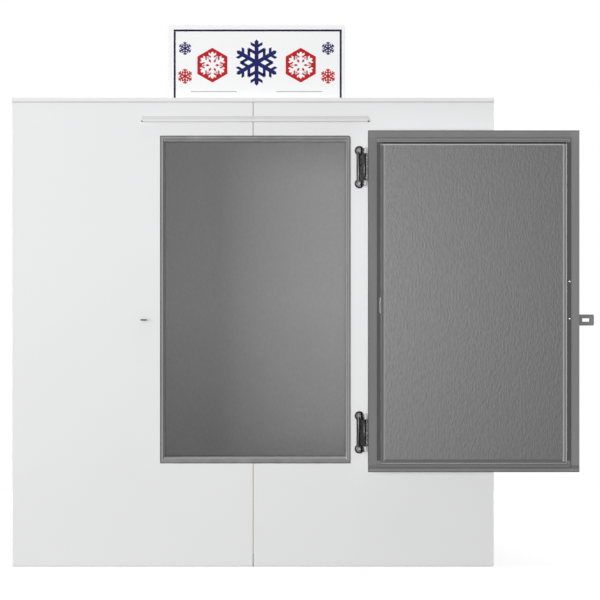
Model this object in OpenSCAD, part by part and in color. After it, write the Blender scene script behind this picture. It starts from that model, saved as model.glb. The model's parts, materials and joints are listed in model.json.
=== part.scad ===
// Outdoor ice merchandiser: an insulated cold-wall cabinet with one hinged door.
// Origin: on the floor under the middle of the cabinet. +X right, -Y front, +Z up.
// The door is drawn swung fully open, flat beside the doorway.

/* [Cabinet] */
// Width over the side skins
body_w = 1826; // [1700:1:2100]
// Depth from the front skin to the back skin
body_d = 1219; // [1150:1:1400]
// Height from the floor to the top of the roof pan
body_h = 1778; // [1760:1:1900]
// Insulated wall thickness, from the outer face to the liner face
wall_t = 75; // [70:1:95]
// Thickness of the painted and galvanised steel sheets
skin_t = 1; // [0.8:0.1:1.4]
// Thickness of the embossed aluminium liner sheets
liner_t = 1; // [0.8:0.1:1.4]
// Open width of the seam between the two front sheets
seam_gap = 3; // [2:0.5:5]
// Depth of the flange turned in behind that seam
hem_d = 12; // [8:1:18]
// Height of the roof pan's turned-down lip
roof_lip = 16.5; // [10:0.5:30]
// How far the roof pan stands out past the skins
roof_lap = 1.5; // [1.5:0.1:4]
// Height of the skins' lower edge above the floor
skin_lift = 3; // [2:0.5:8]

/* [Base] */
// Height of the channels that the cabinet stands on
skid_h = 50; // [40:1:80]
// Flange width of those channels
channel_w = 40; // [30:1:60]
// Sheet thickness of those channels
channel_t = 3; // [2:0.5:5]
// Height of the storage floor above the ground
floor_z = 110; // [105:1:140]

/* [Machine bay] */
// Depth of the bay at the bottom of the back
bay_d = 450; // [430:1:520]
// Height of the step that covers the bay
step_z = 340; // [335:1:360]
// Thickness of the insulated step and bulkhead
bay_wall_t = 50; // [40:1:60]
// How far the rear grille laps over the back skin
grille_lap = 15; // [10:1:20]
// Louvres in one row of the rear grille
louvre_cols = 4; // [2:1:4]
// Rows of louvres
louvre_rows = 9; // [3:1:11]
// Width of one louvre
louvre_w = 230; // [150:1:250]
// Open height of one louvre
louvre_h = 9; // [6:0.5:12]
// Height from one row of louvres to the next
louvre_pitch = 20; // [18:0.5:22]

/* [Doorway] */
// Clear width of the doorway
open_w = 690.6; // [640:0.1:720]
// Clear height of the doorway
open_h = 1200; // [1100:1:1220]
// Middle of the doorway, to the right of the cabinet's middle
open_x = 8.5; // [-20:0.5:30]
// Middle of the doorway above the floor
open_z = 1013; // [1000:1:1030]
// Width of the jamb's face at its sides
jamb_side_w = 16.5; // [12:0.5:20]
// Width of the jamb's face at its head and sill
jamb_head_w = 22; // [14:0.5:26]
// How far the jamb's face stands in front of the skin
jamb_proud = 2; // [1:0.5:3]
// Wall thickness of the jamb's throat
jamb_t = 3; // [2:0.5:4]
// Radius of the jamb's upper right corner
jamb_corner_r = 10; // [4:1:16]
// Width of the chamfer along the jamb's inner edge
jamb_chamfer = 5; // [3:0.5:7]

/* [Door] */
// Width of the door
door_w = 797; // [760:1:810]
// Height of the door
door_h = 1289; // [1250:1:1320]
// How far the door's middle hangs below the middle of the doorway
door_drop = 6; // [0:1:10]
// Thickness of the door's slab, without its plug
door_t = 46; // [42:1:52]
// Gap between the slab and the cabinet's front when the door is shut
door_gap = 14; // [13:0.5:16]
// Width of the flat grey band at the sides of the door's back
band_w = 33.5; // [28:0.5:36]
// Width of that band along the door's top
band_head = 26; // [22:0.5:34]
// Width of that band along the door's bottom
band_foot = 18; // [14:0.5:34]
// Width of the gasket
gasket_w = 13.5; // [10:0.5:16]
// Gap that the gasket keeps from the jamb when the door is shut
gasket_gap = 0.3; // [0.3:0.1:1]
// Gap between the gasket and the foot of the plug
plug_margin = 2; // [1:0.5:4]
// Width of the plug's sloping side
plug_bevel = 14.5; // [8:0.5:16]
// Gap between the plug's face and the jamb when the door is shut
plug_gap = 2; // [1:0.5:3]

/* [Hinge] */
// Distance from the cabinet's front to the hinge axis
hinge_out = 40; // [38:0.5:46]
// Distance from the door's edge to the hinge axis
hinge_side = 13.5; // [13:0.5:18]
// Height of the upper hinge's middle above the floor
hinge_hi_z = 1515; // [1480:1:1530]
// Height of the lower hinge's middle above the floor
hinge_lo_z = 509; // [490:1:560]
// Height of the leaf on the cabinet, over its two knuckles
leaf_h = 141; // [130:1:160]
// Height of the leaf on the door
barrel_h = 98; // [86:1:104]
// Radius of the knuckles
knuckle_r = 8; // [7:0.5:9]
// Radius of the hinge pin
pin_r = 4; // [3:0.5:5]
// Radial running clearance of the pin
pin_fit = 0.05; // [0.02:0.01:0.1]
// Thickness of the cabinet leaf's ears
ear_t = 8; // [6:0.5:8]
// Radius of the ears' round side
ear_r = 18; // [15:0.5:20]
// Distance from the hinge axis to the ears' screws
ear_x = 17.5; // [17:0.5:22]
// How far the ears reach beyond the ends of the knuckles
ear_over = 10; // [6:0.5:12]
// Thickness of the leaf on the door
leaf_t = 3; // [2:0.5:4]
// Width of the leaf on the door
leaf_w = 40; // [34:1:42]

/* [Lock and handle] */
// Height of the hasp and the staple above the floor
lock_z = 936; // [880:1:1000]
// Length of the hasp's tab beside the door
hasp_l = 56; // [50:1:64]
// Height of the hasp's tab
hasp_h = 42; // [36:1:50]
// Thickness of the hasp
hasp_t = 3; // [2:0.5:4]
// Distance from the door's edge to the middle of the hasp's slot
slot_x = 25; // [22:0.5:30]
// Length of the hasp's slot
slot_w = 26; // [22:0.5:30]
// Height of the hasp's slot
slot_h = 12.5; // [10:0.5:15]
// Thickness of the staple
staple_t = 4; // [3:0.5:6]
// Play between the staple and each end of the slot
staple_play = 1; // [0.6:0.1:2]
// How far the staple reaches in front of the cabinet
staple_out = 51; // [49:0.5:56]
// Radius of the padlock hole
padlock_r = 5.5; // [4:0.5:6]
// Distance from the door's latch edge to the handle's bolts
handle_x = 38; // [34:1:42]
// Height of the handle's middle above the floor
handle_z = 1011.5; // [980:0.5:1040]
// Spacing of the handle's bolts
handle_pitch = 141; // [120:1:160]
// How far the handle's grip stands off the door
handle_out = 45; // [38:1:55]
// Radius of the handle's bar
handle_r = 7; // [5:0.5:9]
// Radius of the handle's bends, along the middle of the bar
handle_bend = 20; // [16:1:26]

/* [Front fittings] */
// Middle of the rain gutter, to the right of the cabinet's middle
gutter_x = 8; // [-20:1:30]
// Length of the rain gutter
gutter_l = 860; // [800:1:900]
// Height of the gutter's back flange
gutter_h = 24; // [20:0.5:32]
// Height of the gutter's top above the floor
gutter_z = 1709.5; // [1690:0.5:1720]
// Outer radius of the gutter's round trough
gutter_r = 7; // [6:0.5:9]
// Sheet thickness of the gutter
gutter_t = 1.2; // [1:0.1:1.6]
// Height of the gutter's front lip
gutter_lip = 5; // [3:0.5:8]
// Width of the sign
sign_w = 672; // [600:1:800]
// Height of the sign
sign_h = 279; // [240:1:320]
// Depth of the sign's edge
sign_d = 14; // [10:1:20]
// Sheet thickness of the sign
sign_t = 1.5; // [1:0.1:2]
// Middle of the sign, to the right of the cabinet's middle
sign_x = 13; // [-50:1:50]
// Distance from the cabinet's front to the sign's face
sign_back = 28; // [20:1:60]
// Spacing of the sign's two brackets
sign_pitch = 440; // [300:1:520]

/* [Cold wall] */
// Radius of the evaporator tube
evap_r = 4.75; // [4:0.25:6]
// Straight runs of the evaporator tube
evap_runs = 8; // [4:2:10]
// Height from one run to the next
evap_pitch = 130; // [100:1:140]
// Length of a straight run
evap_l = 1360; // [1200:1:1450]
// Slats of the floor rack
rack_slats = 9; // [5:1:13]

/* [Condensing unit] */
// Length of the unit's base plate
unit_l = 640; // [600:1:700]
// Depth of the unit's base plate
unit_d = 400; // [390:1:420]
// Middle of the unit, to the right of the cabinet's middle
unit_x = 330; // [250:1:400]
// Radius of the compressor shell
comp_r = 78; // [70:1:85]
// Height of the compressor shell
comp_h = 175; // [160:1:185]
// Width of the condenser
cond_w = 290; // [270:1:320]
// Height of the condenser
cond_h = 200; // [190:1:208]
// Depth of the condenser's fins
cond_d = 55; // [45:1:60]
// Fins of the condenser
cond_fins = 24; // [10:1:30]
// Radius of the fan
fan_r = 88; // [80:1:92]
// Gap between the fan's blades and the shroud
fan_gap = 4; // [3:0.5:6]
// Blades of the fan
fan_blades = 4; // [3:1:6]

/* [Hidden] */
$fn = 64;

// Planes of the cabinet, half sizes in X and Y: outer face, foam, liner, room.
xo = body_w / 2;
xs = xo - skin_t;
xi = xo - wall_t;
xl = xi + liner_t;
yo = body_d / 2;
ys = yo - skin_t;
yi = yo - wall_t;
yl = yi + liner_t;
// Heights: foam's bottom, floor foam's top, room's top, ceiling foam, foam's top.
zb = skid_h + skin_t;
zfl = floor_z - liner_t;
zi = body_h - wall_t;
zl = zi + liner_t;
zt = body_h - skin_t;

module box(x, y, z) {
    translate([x[0], y[0], z[0]]) cube([x[1] - x[0], y[1] - y[0], z[1] - z[0]]);
}

// A flat outline in X and Z, drawn as a sheet from y[0] to y[1].
module upright(y) {
    translate([0, y[1], 0]) rotate([90, 0, 0]) linear_extrude(y[1] - y[0]) children();
}

// The same outline laid along X: its own x becomes y, and its y becomes z.
module along_x(x) {
    translate([x[0], 0, 0]) rotate([90, 0, 90]) linear_extrude(x[1] - x[0]) children();
}

module rect(x, z) {
    translate([x[0], z[0]]) square([x[1] - x[0], z[1] - z[0]]);
}

// A round bar along Y that starts at [x, y, z] and runs towards +Y.
module rod_y(at, r, l) {
    translate(at) rotate([-90, 0, 0]) cylinder(r = r, h = l);
}

// Countersunk screw, head face at the origin, running along +Z.
screw_head_r = 5.8;
screw_head_h = 3.2;
screw_r = 2.6;
hole_play = 0.15;
module screw(l, play = 0) {
    rotate_extrude() polygon([
        [0, 0], [screw_head_r + play, 0], [screw_r + play, screw_head_h + play],
        [screw_r + play, l + play], [0, l + play]
    ]);
}

/* ---- places shared by several pieces ---- */

// Edges of the doorway in X and in Z, grown by m.
function way_x(m) = [open_x - open_w / 2 - m, open_x + open_w / 2 + m];
function way_z(m) = [open_z - open_h / 2 - m, open_z + open_h / 2 + m];
foam_x = way_x(jamb_t);
foam_z = way_z(jamb_t);

// Bay: its front plane, the bulkhead's two foam faces and its ceiling.
bay_y = yo - bay_d;
bulk_front = bay_y - bay_wall_t + liner_t;
bulk_back = bay_y - skin_t;
step_y = bay_y - bay_wall_t;
bay_top = step_z - bay_wall_t;
bay_rim = 4;
bay_x = xl - bay_rim - skin_t;
bay_z = [zb + bay_rim, bay_top - bay_rim];

// Hinge axis, and the leaf screws' place beside it.
hinge_x = open_x + door_w / 2 + hinge_side;
ear_pitch = leaf_h - 2 * (ear_r - ear_over);
hinge_y = -yo - hinge_out;
ear_screw_l = 16;
backer_t = 4;
backer_w = 34;
backer_x = hinge_x - ear_x - backer_w / 2;

// Staple: it stands at the middle of the shut hasp's slot.
staple_x = open_x - door_w / 2 - slot_x;
staple_w = slot_w - 2 * staple_play;
plate_w = 50;
plate_t = 3;

// Drain in the storage floor, clear of the rack.
drain_x = -770;
drain_y = -430;
drain_r = 13;
drain_bore = 10;
drain_end = 20;

/* ---- base ---- */

weld_gap = 0.5;
runner_l = 2 * (ys - channel_w - weld_gap);

module channel(l) {
    rotate([90, 0, 0]) linear_extrude(l, center = true) difference() {
        square([channel_w, skid_h]);
        translate([channel_t, channel_t])
            square([channel_w, skid_h - 2 * channel_t]);
    }
}

module base_frame() color("dimgray") {
    translate([-xs, 0, 0]) channel(runner_l);
    translate([xs, 0, 0]) mirror([1, 0, 0]) channel(runner_l);
    translate([-channel_w / 2, 0, 0]) channel(runner_l);
    for (side = [-1, 1])
        translate([0, side * ys, 0]) rotate([0, 0, -side * 90]) channel(2 * xs);
}

module drain_hole(z) {
    translate([drain_x, drain_y, z[0] - 1])
        cylinder(r = drain_r + hole_play, h = z[1] - z[0] + 2);
}

module base_pan() color("silver") difference() {
    box([-xs, xs], [-ys, ys], [skid_h, zb]);
    drain_hole([skid_h, zb]);
}

/* ---- insulation ---- */

module side_foam(side) {
    x = side < 0 ? [-xs, -xl] : [xl, xs];
    box(x, [-ys, ys], [zb, zt]);
}
module side_foam_left() color("khaki") side_foam(-1);
module side_foam_right() color("khaki") side_foam(1);

module floor_foam() color("khaki") difference() {
    box([-xl, xl], [-yl, bulk_front], [zb, zfl]);
    drain_hole([zb, zfl]);
}

module bulkhead_foam() color("khaki")
    box([-xl, xl], [bulk_front, bulk_back], [zb, step_z - liner_t]);

// The evaporator's two leads pass down through the deck.
module lead_holes() {
    for (x = [lead_in_x, lead_out_x])
        translate([x, evap_y, bay_top - 1]) cylinder(r = evap_r + 1, h = bay_wall_t + 2);
}

module deck_foam() color("khaki") difference() {
    box([-xl, xl], [bulk_back, ys], [bay_top + skin_t, step_z - liner_t]);
    lead_holes();
}

module back_foam() color("khaki") difference() {
    box([-xl, xl], [yl, ys], [step_z - liner_t, zt]);
    box([-evap_side, evap_side], [yl - 1, yl + 2 * evap_r + 1],
        [step_z - liner_t - 1, evap_z + evap_pitch * (evap_runs - 1) + recess_over]);
}

module roof_foam() color("khaki") box([-xl, xl], [-yl, yl], [zl, zt]);

module seam_slot() {
    half = seam_gap / 2 + skin_t;
    box([-half, half], [-ys - 1, -ys + hem_d], [skin_lift, zt + 1]);
}

// Pocket in the front foam for a plate behind the skin.
module pocket(x, z, t) {
    box(x, [-ys - 1, -ys + t], z);
}

module front_foam_left() color("khaki") difference() {
    box([-xl, foam_x[0]], [-ys, -yl], [zb, zt]);
    pocket([staple_x - plate_w / 2, staple_x + plate_w / 2],
        [lock_z - plate_w / 2, lock_z + plate_w / 2], plate_t);
}

module front_foam_right() color("khaki") difference() {
    box([foam_x[1], xl], [-ys, -yl], [zb, zt]);
    for (z = [hinge_hi_z, hinge_lo_z]) {
        pocket([backer_x, backer_x + backer_w], [z - leaf_h / 2, z + leaf_h / 2], backer_t);
        for (s = [-1, 1])
            rod_y([hinge_x - ear_x, -ys, z + s * ear_pitch / 2],
                screw_r + hole_play, ear_screw_l);
    }
}

module front_foam_head() color("khaki") difference() {
    box(foam_x, [-ys, -yl], [foam_z[1], zt]);
    seam_slot();
}

module front_foam_sill() color("khaki") difference() {
    box(foam_x, [-ys, -yl], [zb, foam_z[0]]);
    seam_slot();
}

/* ---- outer skins ---- */

module front_skin(side) {
    x = side < 0 ? [-xo, -seam_gap / 2] : [seam_gap / 2, xo];
    hem_x = side < 0 ? [-seam_gap / 2 - skin_t, -seam_gap / 2]
        : [seam_gap / 2, seam_gap / 2 + skin_t];
    difference() {
        union() {
            box(x, [-yo, -ys], [skin_lift, zt]);
            box(hem_x, [-ys, -ys + hem_d], [skin_lift, zt]);
        }
        box(foam_x, [-yo - 1, -yl], foam_z);
        box([-xs, xs], [-ys, 0], [skin_lift - 1, zb]);
    }
}

module front_skin_left() color("whitesmoke") difference() {
    front_skin(-1);
    box([staple_x - staple_w / 2 - hole_play, staple_x + staple_w / 2 + hole_play],
        [-yo - 1, -ys + 1],
        [lock_z - staple_t / 2 - hole_play, lock_z + staple_t / 2 + hole_play]);
}

module front_skin_right() color("whitesmoke") difference() {
    front_skin(1);
    for (z = [hinge_hi_z, hinge_lo_z], s = [-1, 1])
        rod_y([hinge_x - ear_x, -yo - 1, z + s * ear_pitch / 2],
            screw_r + hole_play, 3);
}

module side_skin(side) {
    x = side < 0 ? [-xo, -xs] : [xs, xo];
    box(x, [-ys, ys], [skin_lift, zt]);
}
module side_skin_left() color("whitesmoke") side_skin(-1);
module side_skin_right() color("whitesmoke") side_skin(1);

module back_skin() color("whitesmoke") difference() {
    box([-xo, xo], [ys, yo], [skin_lift, zt]);
    box([-bay_x, bay_x], [ys - 1, yo + 1], bay_z);
}

module roof_pan() color("whitesmoke") {
    x = xo + roof_lap;
    y = yo + roof_lap;
    difference() {
        box([-x, x], [-y, y], [body_h - roof_lip, body_h]);
        box([-x + skin_t, x - skin_t], [-y + skin_t, y - skin_t],
            [body_h - roof_lip - 1, zt]);
    }
}

/* ---- liners ---- */

module side_liner(side) {
    x = side < 0 ? [-xl, -xi] : [xi, xl];
    difference() {
        box(x, [-yl, yl], [floor_z, zi]);
        box([x[0] - 1, x[1] + 1], [step_y, yl + 1], [floor_z - 1, step_z]);
    }
}
module side_liners() color("gray") {
    side_liner(-1);
    side_liner(1);
}

module front_liner() color("gray") difference() {
    box([-xi, xi], [-yl, -yi], [floor_z, zi]);
    box(foam_x, [-yl - 1, -yi + 1], foam_z);
}

module back_liner() color("gray") box([-xi, xi], [yi, yl], [step_z, zi]);
module roof_liner() color("gray") box([-xl, xl], [-yl, yl], [zi, zl]);

module floor_liner() color("gray") difference() {
    box([-xl, xl], [-yl, bulk_front], [zfl, floor_z]);
    drain_hole([zfl, floor_z]);
}

module step_liner() color("gray") {
    box([-xl, xl], [step_y, bulk_front], [floor_z, step_z]);
    box([-xl, xl], [bulk_front, yl], [step_z - liner_t, step_z]);
}

module bay_liner() color("silver") difference() {
    union() {
        box([-xl, xl], [bulk_back, bay_y], [zb, bay_top + skin_t]);
        box([-xl, xl], [bay_y, ys], [bay_top, bay_top + skin_t]);
    }
    lead_holes();
}

/* ---- doorway ---- */

jamb_rim = 5;
jamb_rim_t = 1;
jamb_flange = 12;

// The doorway's outline, grown at the sides and at the head and sill, with r at one corner.
module jamb_outline(side, head, r = 0) {
    x = way_x(side);
    z = way_z(head);
    difference() {
        rect(x, z);
        if (r > 0) translate([x[1] - r, z[1] - r]) difference() {
            square(r + 1);
            circle(r);
        }
    }
}

module jamb_frame() color("gray") {
    difference() {
        union() {
            upright([-yo - jamb_rim_t, -yo])
                jamb_outline(jamb_side_w, jamb_head_w, jamb_corner_r);
            upright([-yo - jamb_proud, -yo])
                jamb_outline(jamb_side_w - jamb_rim, jamb_head_w - jamb_rim,
                    jamb_corner_r - jamb_rim);
            upright([-yo, -yi]) jamb_outline(jamb_t, jamb_t);
            upright([-yi, -yi + jamb_t / 2]) jamb_outline(jamb_flange, jamb_flange);
        }
        upright([-yo - jamb_proud - 1, -yi + jamb_t]) jamb_outline(0, 0);
        hull() {
            upright([-yo - jamb_proud - 1, -yo - jamb_proud])
                jamb_outline(jamb_chamfer, jamb_chamfer);
            upright([-yo - jamb_proud, -yo + jamb_t / 3]) jamb_outline(0, 0);
        }
    }
}

/* ---- front fittings ---- */

// Rolled trough with a flange on the cabinet's front.
module rain_gutter() color("whitesmoke") {
    x = [gutter_x - gutter_l / 2, gutter_x + gutter_l / 2];
    low = gutter_z - gutter_h + gutter_r;
    along_x(x) {
        rect([-yo - gutter_t, -yo], [low, gutter_z]);
        rect([-yo - 2 * gutter_r, -yo - 2 * gutter_r + gutter_t], [low, low + gutter_lip]);
        difference() {
            translate([-yo - gutter_r, low]) circle(gutter_r);
            translate([-yo - gutter_r, low]) circle(gutter_r - gutter_t);
            rect([-yo - 2 * gutter_r - 1, -yo + 1], [low, low + gutter_r + 1]);
        }
    }
}

sign_y = -yo + sign_back;

module sign_panel() color("white") difference() {
    box([sign_x - sign_w / 2, sign_x + sign_w / 2], [sign_y, sign_y + sign_d],
        [body_h, body_h + sign_h]);
    box([sign_x - sign_w / 2 + sign_t, sign_x + sign_w / 2 - sign_t],
        [sign_y + sign_t, sign_y + sign_d + 1],
        [body_h + sign_t, body_h + sign_h - sign_t]);
}

bracket_w = 40;
bracket_t = 3;
bracket_foot = 90;
strap_clear = 20;
gusset_in = 12;
gusset_share = 0.55;

// An upright strap on the sign's back, a foot on the roof and a gusset between them.
module sign_brackets() color("silver") {
    y = sign_y + sign_t;
    up = sign_h - 3 * sign_t - strap_clear;
    foot_z = body_h + sign_t;
    for (s = [-1, 1]) {
        x = sign_x + s * sign_pitch / 2;
        along_x([x - bracket_w / 2, x + bracket_w / 2]) {
            rect([y, y + bracket_t], [foot_z, foot_z + up]);
            rect([y, y + bracket_foot], [foot_z, foot_z + bracket_t]);
            rect([y + sign_d, y + bracket_foot], [body_h, foot_z + bracket_t]);
        }
        along_x([x - bracket_t / 2, x + bracket_t / 2])
            polygon([
                [y + bracket_t, foot_z + bracket_t],
                [y + bracket_foot - gusset_in, foot_z + bracket_t],
                [y + bracket_t, foot_z + up * gusset_share]
            ]);
    }
}

/* ---- hinge ---- */

module at_hinges() {
    for (z = [hinge_hi_z, hinge_lo_z]) translate([hinge_x, hinge_y, z]) children();
}

knuckle_gap = 0.7;
knuckle_h = (leaf_h - barrel_h) / 2 - knuckle_gap;
spine_w = 17.5;
spine_x = -28.5;
ear_web = 5;
web_h = barrel_h + 4;
web_edge = hinge_side + 3;

// Low dome round an ear's screw, running out from the cabinet's front.
module ear_dome() {
    rotate([90, 0, 0]) rotate_extrude() polygon([
        [0, 0], [ear_r, 0], [ear_r, 0.4 * ear_t], [ear_r - 1.5, 0.7 * ear_t],
        [ear_r - 4, 0.92 * ear_t], [ear_r - 7, ear_t], [0, ear_t]
    ]);
}

// Cabinet leaf: two screwed ears, a rounded spine and a flat web between them, and two knuckles.
module hinge_bracket() {
    difference() {
        union() {
            translate([spine_x + spine_w / 2, hinge_out, 0])
                linear_extrude(ear_pitch, center = true) intersection() {
                    circle(spine_w / 2);
                    translate([-spine_w / 2, -spine_w]) square(spine_w);
                }
            upright([hinge_out - ear_web, hinge_out])
                rect([spine_x + spine_w / 2, web_edge], [-web_h / 2, web_h / 2]);
            for (s = [-1, 1]) {
                translate([-ear_x, hinge_out, s * ear_pitch / 2]) ear_dome();
                translate([0, 0, s * (leaf_h - knuckle_h) / 2])
                    linear_extrude(knuckle_h, center = true) {
                        circle(knuckle_r);
                        polygon([
                            [-knuckle_r, 0], [-knuckle_r, hinge_out - 15],
                            [-ear_x, hinge_out - ear_web], [-ear_x, hinge_out],
                            [knuckle_r, hinge_out], [knuckle_r, 0]
                        ]);
                    }
            }
        }
        cylinder(r = pin_r + pin_fit, h = leaf_h + 2, center = true);
        for (s = [-1, 1])
            translate([-ear_x, hinge_out - ear_t - 0.01, s * ear_pitch / 2])
                rotate([-90, 0, 0]) screw(ear_screw_l, hole_play);
    }
}

module hinge_brackets() color("dimgray") at_hinges() hinge_bracket();

pin_head_r = 6.5;
pin_head_h = 3;
module hinge_pins() color("silver") at_hinges() {
    cylinder(r = pin_r, h = leaf_h + 2 * pin_head_h, center = true);
    translate([0, 0, leaf_h / 2]) cylinder(r = pin_head_r, h = pin_head_h);
}

module hinge_screws() color("silver") at_hinges() {
    for (s = [-1, 1]) translate([-ear_x, hinge_out - ear_t, s * ear_pitch / 2])
        rotate([-90, 0, 0]) screw(ear_screw_l);
}

module hinge_backers() color("silver") difference() {
    for (z = [hinge_hi_z, hinge_lo_z])
        box([backer_x, backer_x + backer_w], [-ys, -ys + backer_t],
            [z - leaf_h / 2, z + leaf_h / 2]);
    for (z = [hinge_hi_z, hinge_lo_z], s = [-1, 1])
        rod_y([hinge_x - ear_x, -ys - 1, z + s * ear_pitch / 2],
            screw_r + hole_play, backer_t + 2);
}

/* ---- staple ---- */

module staple() color("silver") difference() {
    union() {
        translate([staple_x, 0, lock_z - staple_t / 2]) linear_extrude(staple_t) {
            nose = -yo - staple_out + staple_w / 2;
            translate([0, nose]) circle(staple_w / 2);
            translate([-staple_w / 2, nose]) square([staple_w, -ys - nose + 1]);
        }
        box([staple_x - plate_w / 2, staple_x + plate_w / 2], [-ys, -ys + plate_t],
            [lock_z - plate_w / 2, lock_z + plate_w / 2]);
    }
    translate([staple_x, -yo - hinge_out, lock_z])
        cylinder(r = padlock_r, h = staple_t + 2, center = true);
}

/* ---- inside the room ---- */

rack_w = 1400;
rack_h = 26;
slat_w = 38;
slat_t = 6;
bearer_w = 25;
bearer_in = 40;
rack_gap = 20;
rack_back_gap = 15;
rack_y = [-yi + rack_gap, step_y - rack_back_gap];

module floor_rack() color("burlywood") {
    pitch = (rack_y[1] - rack_y[0] - slat_w) / (rack_slats - 1);
    for (i = [0 : rack_slats - 1])
        box([-rack_w / 2, rack_w / 2],
            [rack_y[0] + i * pitch, rack_y[0] + i * pitch + slat_w],
            [floor_z + rack_h - slat_t, floor_z + rack_h]);
    for (x = [-rack_w / 2 + bearer_in, -bearer_w / 2, rack_w / 2 - bearer_in - bearer_w])
        box([x, x + bearer_w], rack_y, [floor_z, floor_z + rack_h - slat_t]);
}

drain_flange_r = 26;
drain_flange_t = 2;

module drain_fitting() color("white") translate([drain_x, drain_y, 0]) difference() {
    union() {
        translate([0, 0, drain_end]) cylinder(r = drain_r - 1, h = skid_h);
        translate([0, 0, skid_h - 2]) cylinder(r = drain_r, h = floor_z - skid_h + 2);
        translate([0, 0, floor_z]) cylinder(r = drain_flange_r, h = drain_flange_t);
    }
    translate([0, 0, drain_end - 1]) cylinder(r = drain_bore, h = floor_z);
}

plug_fit = 0.05;
plug_seat = 0.3;
module drain_plug() color("black")
    translate([drain_x, drain_y, floor_z + drain_flange_t + plug_seat])
        rotate_extrude() polygon([
            [0, -22], [drain_bore - 2, -22], [drain_bore - plug_fit, -18],
            [drain_bore - plug_fit, 0], [18, 0], [18, 3], [5, 5], [5, 12],
            [9, 14], [9, 18], [0, 18]
        ]);

/* ---- evaporator ---- */

evap_gap = 0.3;
evap_up = 110;
evap_y = yl + evap_r + evap_gap;
evap_z = step_z + evap_up;
lead_bend = 30;
recess_over = 40;
lead_in_x = evap_l / 2 + lead_bend;
lead_out_x = evap_l / 2 + evap_pitch / 2 + lead_bend;
evap_side = lead_out_x + evap_r + 2;
lead_end = bay_top - 20;

module bar_x(x, z, r) {
    translate([x[0], evap_y, z]) rotate([0, 90, 0]) cylinder(r = r, h = x[1] - x[0]);
}

// A lead that turns down at x, from height z to the bay.
module lead(x, z) {
    translate([x - lead_bend, evap_y, z - lead_bend]) rotate([90, 0, 0])
        rotate_extrude(angle = 90) translate([lead_bend, 0]) circle(evap_r);
    translate([x, evap_y, lead_end]) cylinder(r = evap_r, h = z - lead_bend - lead_end);
}

module evaporator_tube() color("peru") {
    half = evap_l / 2;
    top = evap_z + (evap_runs - 1) * evap_pitch;
    for (i = [0 : evap_runs - 1])
        bar_x([-half, i == evap_runs - 1 ? lead_out_x - lead_bend : half],
            evap_z + i * evap_pitch, evap_r);
    for (i = [0 : evap_runs - 2])
        translate([i % 2 == 0 ? -half : half, evap_y, evap_z + (i + 0.5) * evap_pitch])
            rotate([90, i % 2 == 0 ? -90 : 90, 0]) rotate_extrude(angle = 180)
                translate([evap_pitch / 2, 0]) circle(evap_r);
    lead(lead_in_x, evap_z);
    lead(lead_out_x, top);
}

/* ---- condensing unit ---- */

unit_gap = 20;
unit_y = bay_y + unit_gap + unit_d / 2;
foot_h = 12;
pad_r = 14;
pad_in = 25;
cond_in = 20;
cond_back = 5;
comp_in = 40;
comp_shift = 20;
plate_z = zb + foot_h;
deck_z = plate_z + channel_t;
cond_x = unit_x - unit_l / 2 + cond_in + cond_w / 2;
cond_y = unit_y + unit_d / 2 - cond_back - cond_d;
fan_z = deck_z + cond_h / 2;
shroud_d = 40;
shroud_y = cond_y - shroud_d;
comp_x = unit_x + unit_l / 2 - comp_in - comp_r;
comp_y = unit_y - comp_shift;

module unit_plate() color("dimgray") {
    box([unit_x - unit_l / 2, unit_x + unit_l / 2], [unit_y - unit_d / 2, unit_y + unit_d / 2],
        [plate_z, deck_z]);
    for (sx = [-1, 1], sy = [-1, 1])
        translate([unit_x + sx * (unit_l / 2 - pad_in), unit_y + sy * (unit_d / 2 - pad_in), zb])
            cylinder(r = pad_r, h = foot_h);
}

comp_foot_h = 18;
stub_r = 5;
stub_l = 8;
stub_x = 30;
suction_z = 70;
comp_top = comp_foot_h + comp_h + stub_l - 6;
module compressor() color("black") translate([comp_x, comp_y, deck_z]) {
    translate([0, 0, comp_foot_h]) rotate_extrude() polygon([
        [0, 0], [comp_r - 22, 0], [comp_r - 6, 10], [comp_r, 28], [comp_r, comp_h * 0.45],
        [comp_r + 3, comp_h * 0.45], [comp_r + 3, comp_h * 0.45 + 5],
        [comp_r, comp_h * 0.45 + 5], [comp_r, comp_h - 45], [comp_r - 10, comp_h - 18],
        [comp_r - 35, comp_h - 4], [0, comp_h]
    ]);
    box([-comp_r, comp_r], [-comp_r * 0.8, comp_r * 0.8], [comp_foot_h - 3, comp_foot_h + 1]);
    for (sx = [-1, 1], sy = [-1, 1])
        translate([sx * (comp_r - 14), sy * (comp_r * 0.8 - 14), 0])
            cylinder(r = 10, h = comp_foot_h - 2);
    box([-comp_r - 26, -comp_r + 6], [-28, 28], [comp_h * 0.2, comp_h * 0.2 + 60]);
    translate([-stub_x, 0, comp_top - stub_l - 14]) cylinder(r = stub_r, h = stub_l + 14);
    translate([comp_r - 4, 0, suction_z]) rotate([0, 90, 0])
        cylinder(r = stub_r + 1.5, h = stub_l + 4);
}

cond_rows = 5;
cond_tube_r = 4.75;
module condenser() color("silver") {
    x = [cond_x - cond_w / 2, cond_x + cond_w / 2];
    fin_t = 1;
    end_t = 2;
    pitch = (cond_w - 2 * end_t) / (cond_fins + 1);
    for (i = [1 : cond_fins])
        box([x[0] + end_t + i * pitch - fin_t / 2, x[0] + end_t + i * pitch + fin_t / 2],
            [cond_y + 2, cond_y + cond_d - 2], [deck_z + 6, deck_z + cond_h - 2]);
    for (e = [x[0], x[1] - end_t])
        box([e, e + end_t], [cond_y, cond_y + cond_d], [deck_z, deck_z + cond_h]);
    for (i = [0 : cond_rows - 1])
        translate([x[0] - 6, cond_y + cond_d / 2, deck_z + 22 + i * (cond_h - 44) / (cond_rows - 1)])
            rotate([0, 90, 0]) cylinder(r = cond_tube_r, h = cond_w + 12);
}

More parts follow.
